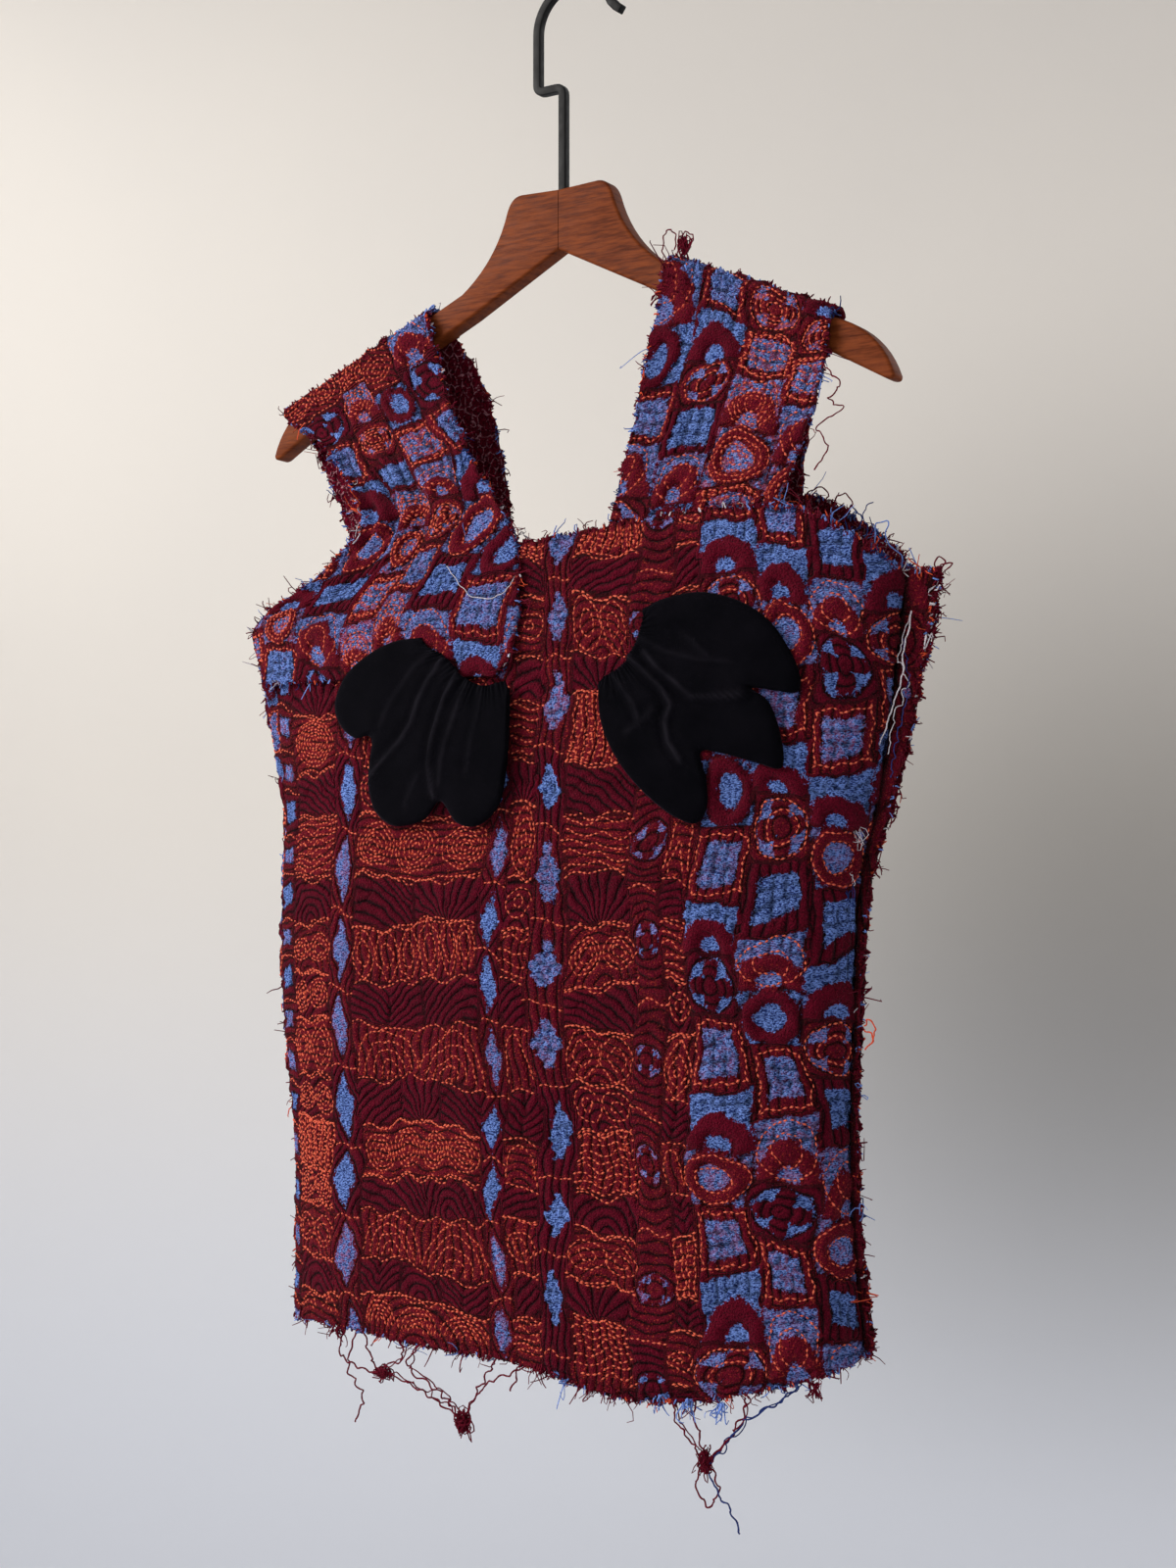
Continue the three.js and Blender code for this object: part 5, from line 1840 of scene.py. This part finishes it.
petals = {
    "left": {
        "lift": 2 * form["pillow"] + form["cloth"] + 3 * form["gap"],
        "root": {"x": [-5, -18, -32, -46, -61], "z": [-403, -405, -399, -387, -380]},
        "rim": {
            "x": [-1, 0, -1, -6, -20, -35, -46, -58, -80, -94, -99, -97, -110, -122, -127,
                  -119, -102, -84, -64],
            "z": [-408, -428, -450, -471, -482, -480, -468, -478, -481, -472, -455, -431, -430, -422, -409,
                  -393, -382, -376, -375],
        },
        # Folds pressed into the velvet: how high, and their x and z.
        "creases": [
            (1.3, [
                (-47, -389), (-55, -400), (-62, -412), (-66, -424), (-72, -432), (-84, -442), (-95, -452)]),
            (1.5, [
                (-35, -397), (-42, -408), (-47, -420), (-51, -434), (-53, -448), (-50, -462), (-46, -469)]),
            (0.8, [(-28, -402), (-34, -416), (-40, -432), (-44, -446), (-45, -458)]),
            (0.6, [(-54, -384), (-66, -392), (-76, -404), (-84, -414), (-88, -424)]),
            (0.5, [(-18, -406), (-20, -420), (-24, -436), (-26, -452)]),
            (0.5, [(-60, -452), (-66, -462), (-70, -470)]),
        ],
    },
    "right": {
        "lift": form["pillow"] + 4 * form["gap"],
        "root": {"x": [79, 77, 72, 65, 56], "z": [-373, -383, -393, -400, -404]},
        "rim": {
            "x": [78, 91, 112, 133, 149, 159, 165, 164, 153, 141, 150, 156, 156, 143, 126, 114, 117, 117, 111,
                  100, 86, 72, 61, 55, 53],
            "z": [-368, -363, -361, -367, -378, -392, -406, -416, -415, -413.5, -421, -439, -455, -452, -447,
                  -446, -460, -475, -483, -480, -470, -456, -440, -425, -408],
        },
        "creases": [
            (1.4, [(82, -392), (89, -400), (98, -407), (105, -413), (110, -417), (122, -417), (137, -416)]),
            (1.5, [(72, -393), (82, -402), (92, -411), (98, -420), (95, -430), (97, -440), (104, -450)]),
            (0.9, [(63, -403), (70, -411), (77, -420), (79, -427)]),
            (0.7, [(88, -422), (82, -428), (73, -434)]),
            (0.5, [(79, -384), (94, -392), (112, -397), (130, -399)]),
            (0.5, [(104, -383), (112, -390), (120, -398)]),
        ],
    },
}
petalSizes = {
    "thick": 3.4, "cols": 130, "rows": 44, "edge": 1.2, "round": 2.8, "crease": 2.4, "gather": 0.55,
    "wall": 1.0}


def nearPath(x, z, path):
    # Distance to a path of straight runs, with its side.
    nearest = np.full(x.shape, 1e9)
    side = np.zeros(x.shape)
    for (ax, az), (bx, bz) in zip(path, path[1:]):
        wayX, wayZ = bx - ax, bz - az
        t = np.clip(((x - ax) * wayX + (z - az) * wayZ) / (wayX ** 2 + wayZ ** 2), 0, 1)
        offX, offZ = x - ax - t * wayX, z - az - t * wayZ
        far = np.hypot(offX, offZ)
        side = np.where(far < nearest, np.sign(offX * wayZ - offZ * wayX), side)
        nearest = np.minimum(nearest, far)
    return nearest, side


def addPetals(name):
    look = petals[name]
    for edge in ("root", "rim"):
        look[edge]["at"] = list(np.linspace(0, 1, len(look[edge]["x"])))

    def surface(u, v):
        rootX, rimX = along(look["root"], "at", "x", u), along(look["rim"], "at", "x", u)
        rootZ, rimZ = along(look["root"], "at", "z", u), along(look["rim"], "at", "z", u)
        x, z = rootX + (rimX - rootX) * v, rootZ + (rimZ - rootZ) * v
        reach = np.hypot(rimX - rootX, rimZ - rootZ)
        rim = np.minimum((1 - v) * reach, 60 * np.minimum(u, 1 - u) + 3 * v)
        plump = 1 - np.exp(-((rim / petalSizes["round"]) ** 1.3))
        high = petalSizes["edge"] + (petalSizes["thick"] - petalSizes["edge"]) * plump
        creased = np.zeros(u.shape)
        for tall, path in look["creases"]:
            off, side = nearPath(x, z, path)
            sharp = hump(off, petalSizes["crease"])
            beside = 0.8 * hump(off - 3.5, 2.2) * (side > 0)
            high = high + tall * (sharp - beside) * plump
            # creased marks where painted sheen lies along each crease's ridge.
            creased = np.maximum(creased, 0.7 * tall * hump(off, 1.3))
        near = v * reach
        gather = np.cos(u * 150 + 2 * np.sin(u * 31)) * np.exp(-near / 7) * petalSizes["gather"]
        soft = 0.35 * np.sin(x / 7 + z / 11) * np.sin(z / 8 - x / 13) * plump
        points = onPanel("front", x, z, look["lift"] + high + gather + soft)
        return points, {"pile": np.clip(creased, 0, 1)}

    title = name + "Petals"
    mesh, points, _ = gridMesh(title, petalSizes["cols"], petalSizes["rows"], surface)
    piece = addPiece(title, mesh, [finishes["velvet"]], "velvet", "petals_" + name)
    solidified(piece, petalSizes["wall"], False)
    wide, _, tall = np.ptp(points.reshape(-1, 3), axis=0)
    clothes[title] = {"piece": piece}
    sized(clothes[title], title, float(wide), float(tall), points)


for name in petals:
    addPetals(name)


# The hanger.

creaseAngle = math.radians(35)   # edges sharper than this stay crisp


def armProfile():
    # The arm's outline from its mitred middle, with its round corners as curves.
    def bend(start, pull, end, count=10):
        start, pull, end = (np.array(place, float) for place in (start, pull, end))
        steps = np.linspace(0, 1, count + 1)[1:]
        return [tuple((1 - s) ** 2 * start + 2 * s * (1 - s) * pull + s * s * end) for s in steps]

    corners = [(0.2, -117), (26, -116)]
    corners += bend((26, -116), (33, -116), (36, -125))
    corners += bend((36, -125), (44, -152), (68, -168.5))
    corners += [(174, -214.5)]
    corners += bend((174, -214.5), (201, -224), (209, -249))
    corners += bend((209, -249), (209, -253), (204, -251), 5)
    corners += [(167, -230), (61, -183), (0.2, -152)]
    return corners


def addArm(name, side):
    bm = bmesh.new()
    corners = [
        bm.verts.new((arm["mid"] * mm + side * x * mm, -arm["thick"] / 2 * mm, z * mm))
        for x, z in armProfile()]
    face = bm.faces.new(corners)
    pushed = bmesh.ops.extrude_face_region(bm, geom=[face])
    farSide = [g for g in pushed["geom"] if isinstance(g, bmesh.types.BMVert)]
    bmesh.ops.translate(bm, verts=farSide, vec=(0, arm["thick"] * mm, 0))
    bmesh.ops.recalc_face_normals(bm, faces=bm.faces)
    # All but the edges of the mitre and those that run from front to back.
    rounded = [
        e for e in bm.edges
        if abs(e.verts[0].co.y - e.verts[1].co.y) < 1e-6
        and not all(abs(v.co.x / mm - arm["mid"]) < 1 for v in e.verts)]
    bmesh.ops.bevel(
        bm, geom=rounded, offset=arm["bevel"] * mm, segments=4, profile=0.5, affect="EDGES", material=-1,
        clamp_overlap=True)
    bmesh.ops.triangulate(bm, faces=[f for f in bm.faces if len(f.verts) > 4])
    mesh = meshOf(bm, name)
    mesh.set_sharp_from_angle(angle=creaseAngle)
    addPiece(name, mesh, [finishes["wood"]], "hanger_wood", "hanger_" + name[3:].lower())


addArm("armRight", 1)
addArm("armLeft", -1)

hook = {
    "bar": 5.0, "bevel": 0.7, "low": -138, "step": -56.5, "corner": 4.0,
    "x": 6, "z": -22.7, "radius": 26, "finish": 22, "tip": [(33.4, -16.5), (37, -19)],
}


def hookLine():
    # The middle of the bar from its foot in the wood, by way of its step, round to its tip.
    upright = hook["x"] - hook["radius"]
    corner, step = hook["corner"], hook["step"]
    mid = arm["mid"]

    def rounded(centre, start, end, count=5):
        angles = np.radians(np.linspace(start, end, count + 1))
        return [(centre[0] + corner * math.cos(t), centre[1] + corner * math.sin(t)) for t in angles]

    points = [(mid, hook["low"]), (mid, -100), (mid, step - corner - 6)]
    points += rounded((mid - corner, step - corner), 0, 90)
    points += rounded((upright + corner, step + corner), 270, 180)
    points += [(upright, -44), (upright, -33)]
    for k in range(25):
        angle = math.pi - (math.pi - math.radians(hook["finish"])) * k / 24
        points.append((
            hook["x"] + hook["radius"] * math.cos(angle), hook["z"] + hook["radius"] * math.sin(angle)))
    return points + hook["tip"]


def addHook():
    line = hookLine()
    half = hook["bar"] / 2
    bm = bmesh.new()
    rings = []
    for k, (x, z) in enumerate(line):
        before, after = line[max(k - 1, 0)], line[min(k + 1, len(line) - 1)]
        way = Vector((after[0] - before[0], 0, after[1] - before[1])).normalized()
        side = Vector((way.z, 0, -way.x))
        centre = Vector((x, 0, z))
        rings.append([
            bm.verts.new((centre + side * (half * s) + Vector((0, half * y, 0))) * mm)
            for s, y in ((-1, -1), (1, -1), (1, 1), (-1, 1))])
    for low, high in zip(rings, rings[1:]):
        for k in range(4):
            bm.faces.new((low[k], low[(k + 1) % 4], high[(k + 1) % 4], high[k]))
    bm.faces.new(rings[0][::-1])
    bm.faces.new(rings[-1])
    bmesh.ops.recalc_face_normals(bm, faces=bm.faces)
    long = [e for e in bm.edges if e.calc_face_angle(0) > math.radians(60)]
    bmesh.ops.bevel(
        bm, geom=long, offset=hook["bevel"] * mm, segments=3, profile=0.5, affect="EDGES", material=-1)
    mesh = meshOf(bm, "hook")
    mesh.set_sharp_from_angle(angle=creaseAngle)
    addPiece("hook", mesh, [finishes["steel"]], "hook_steel", "hanger_hook")


addHook()
print("hanger made")
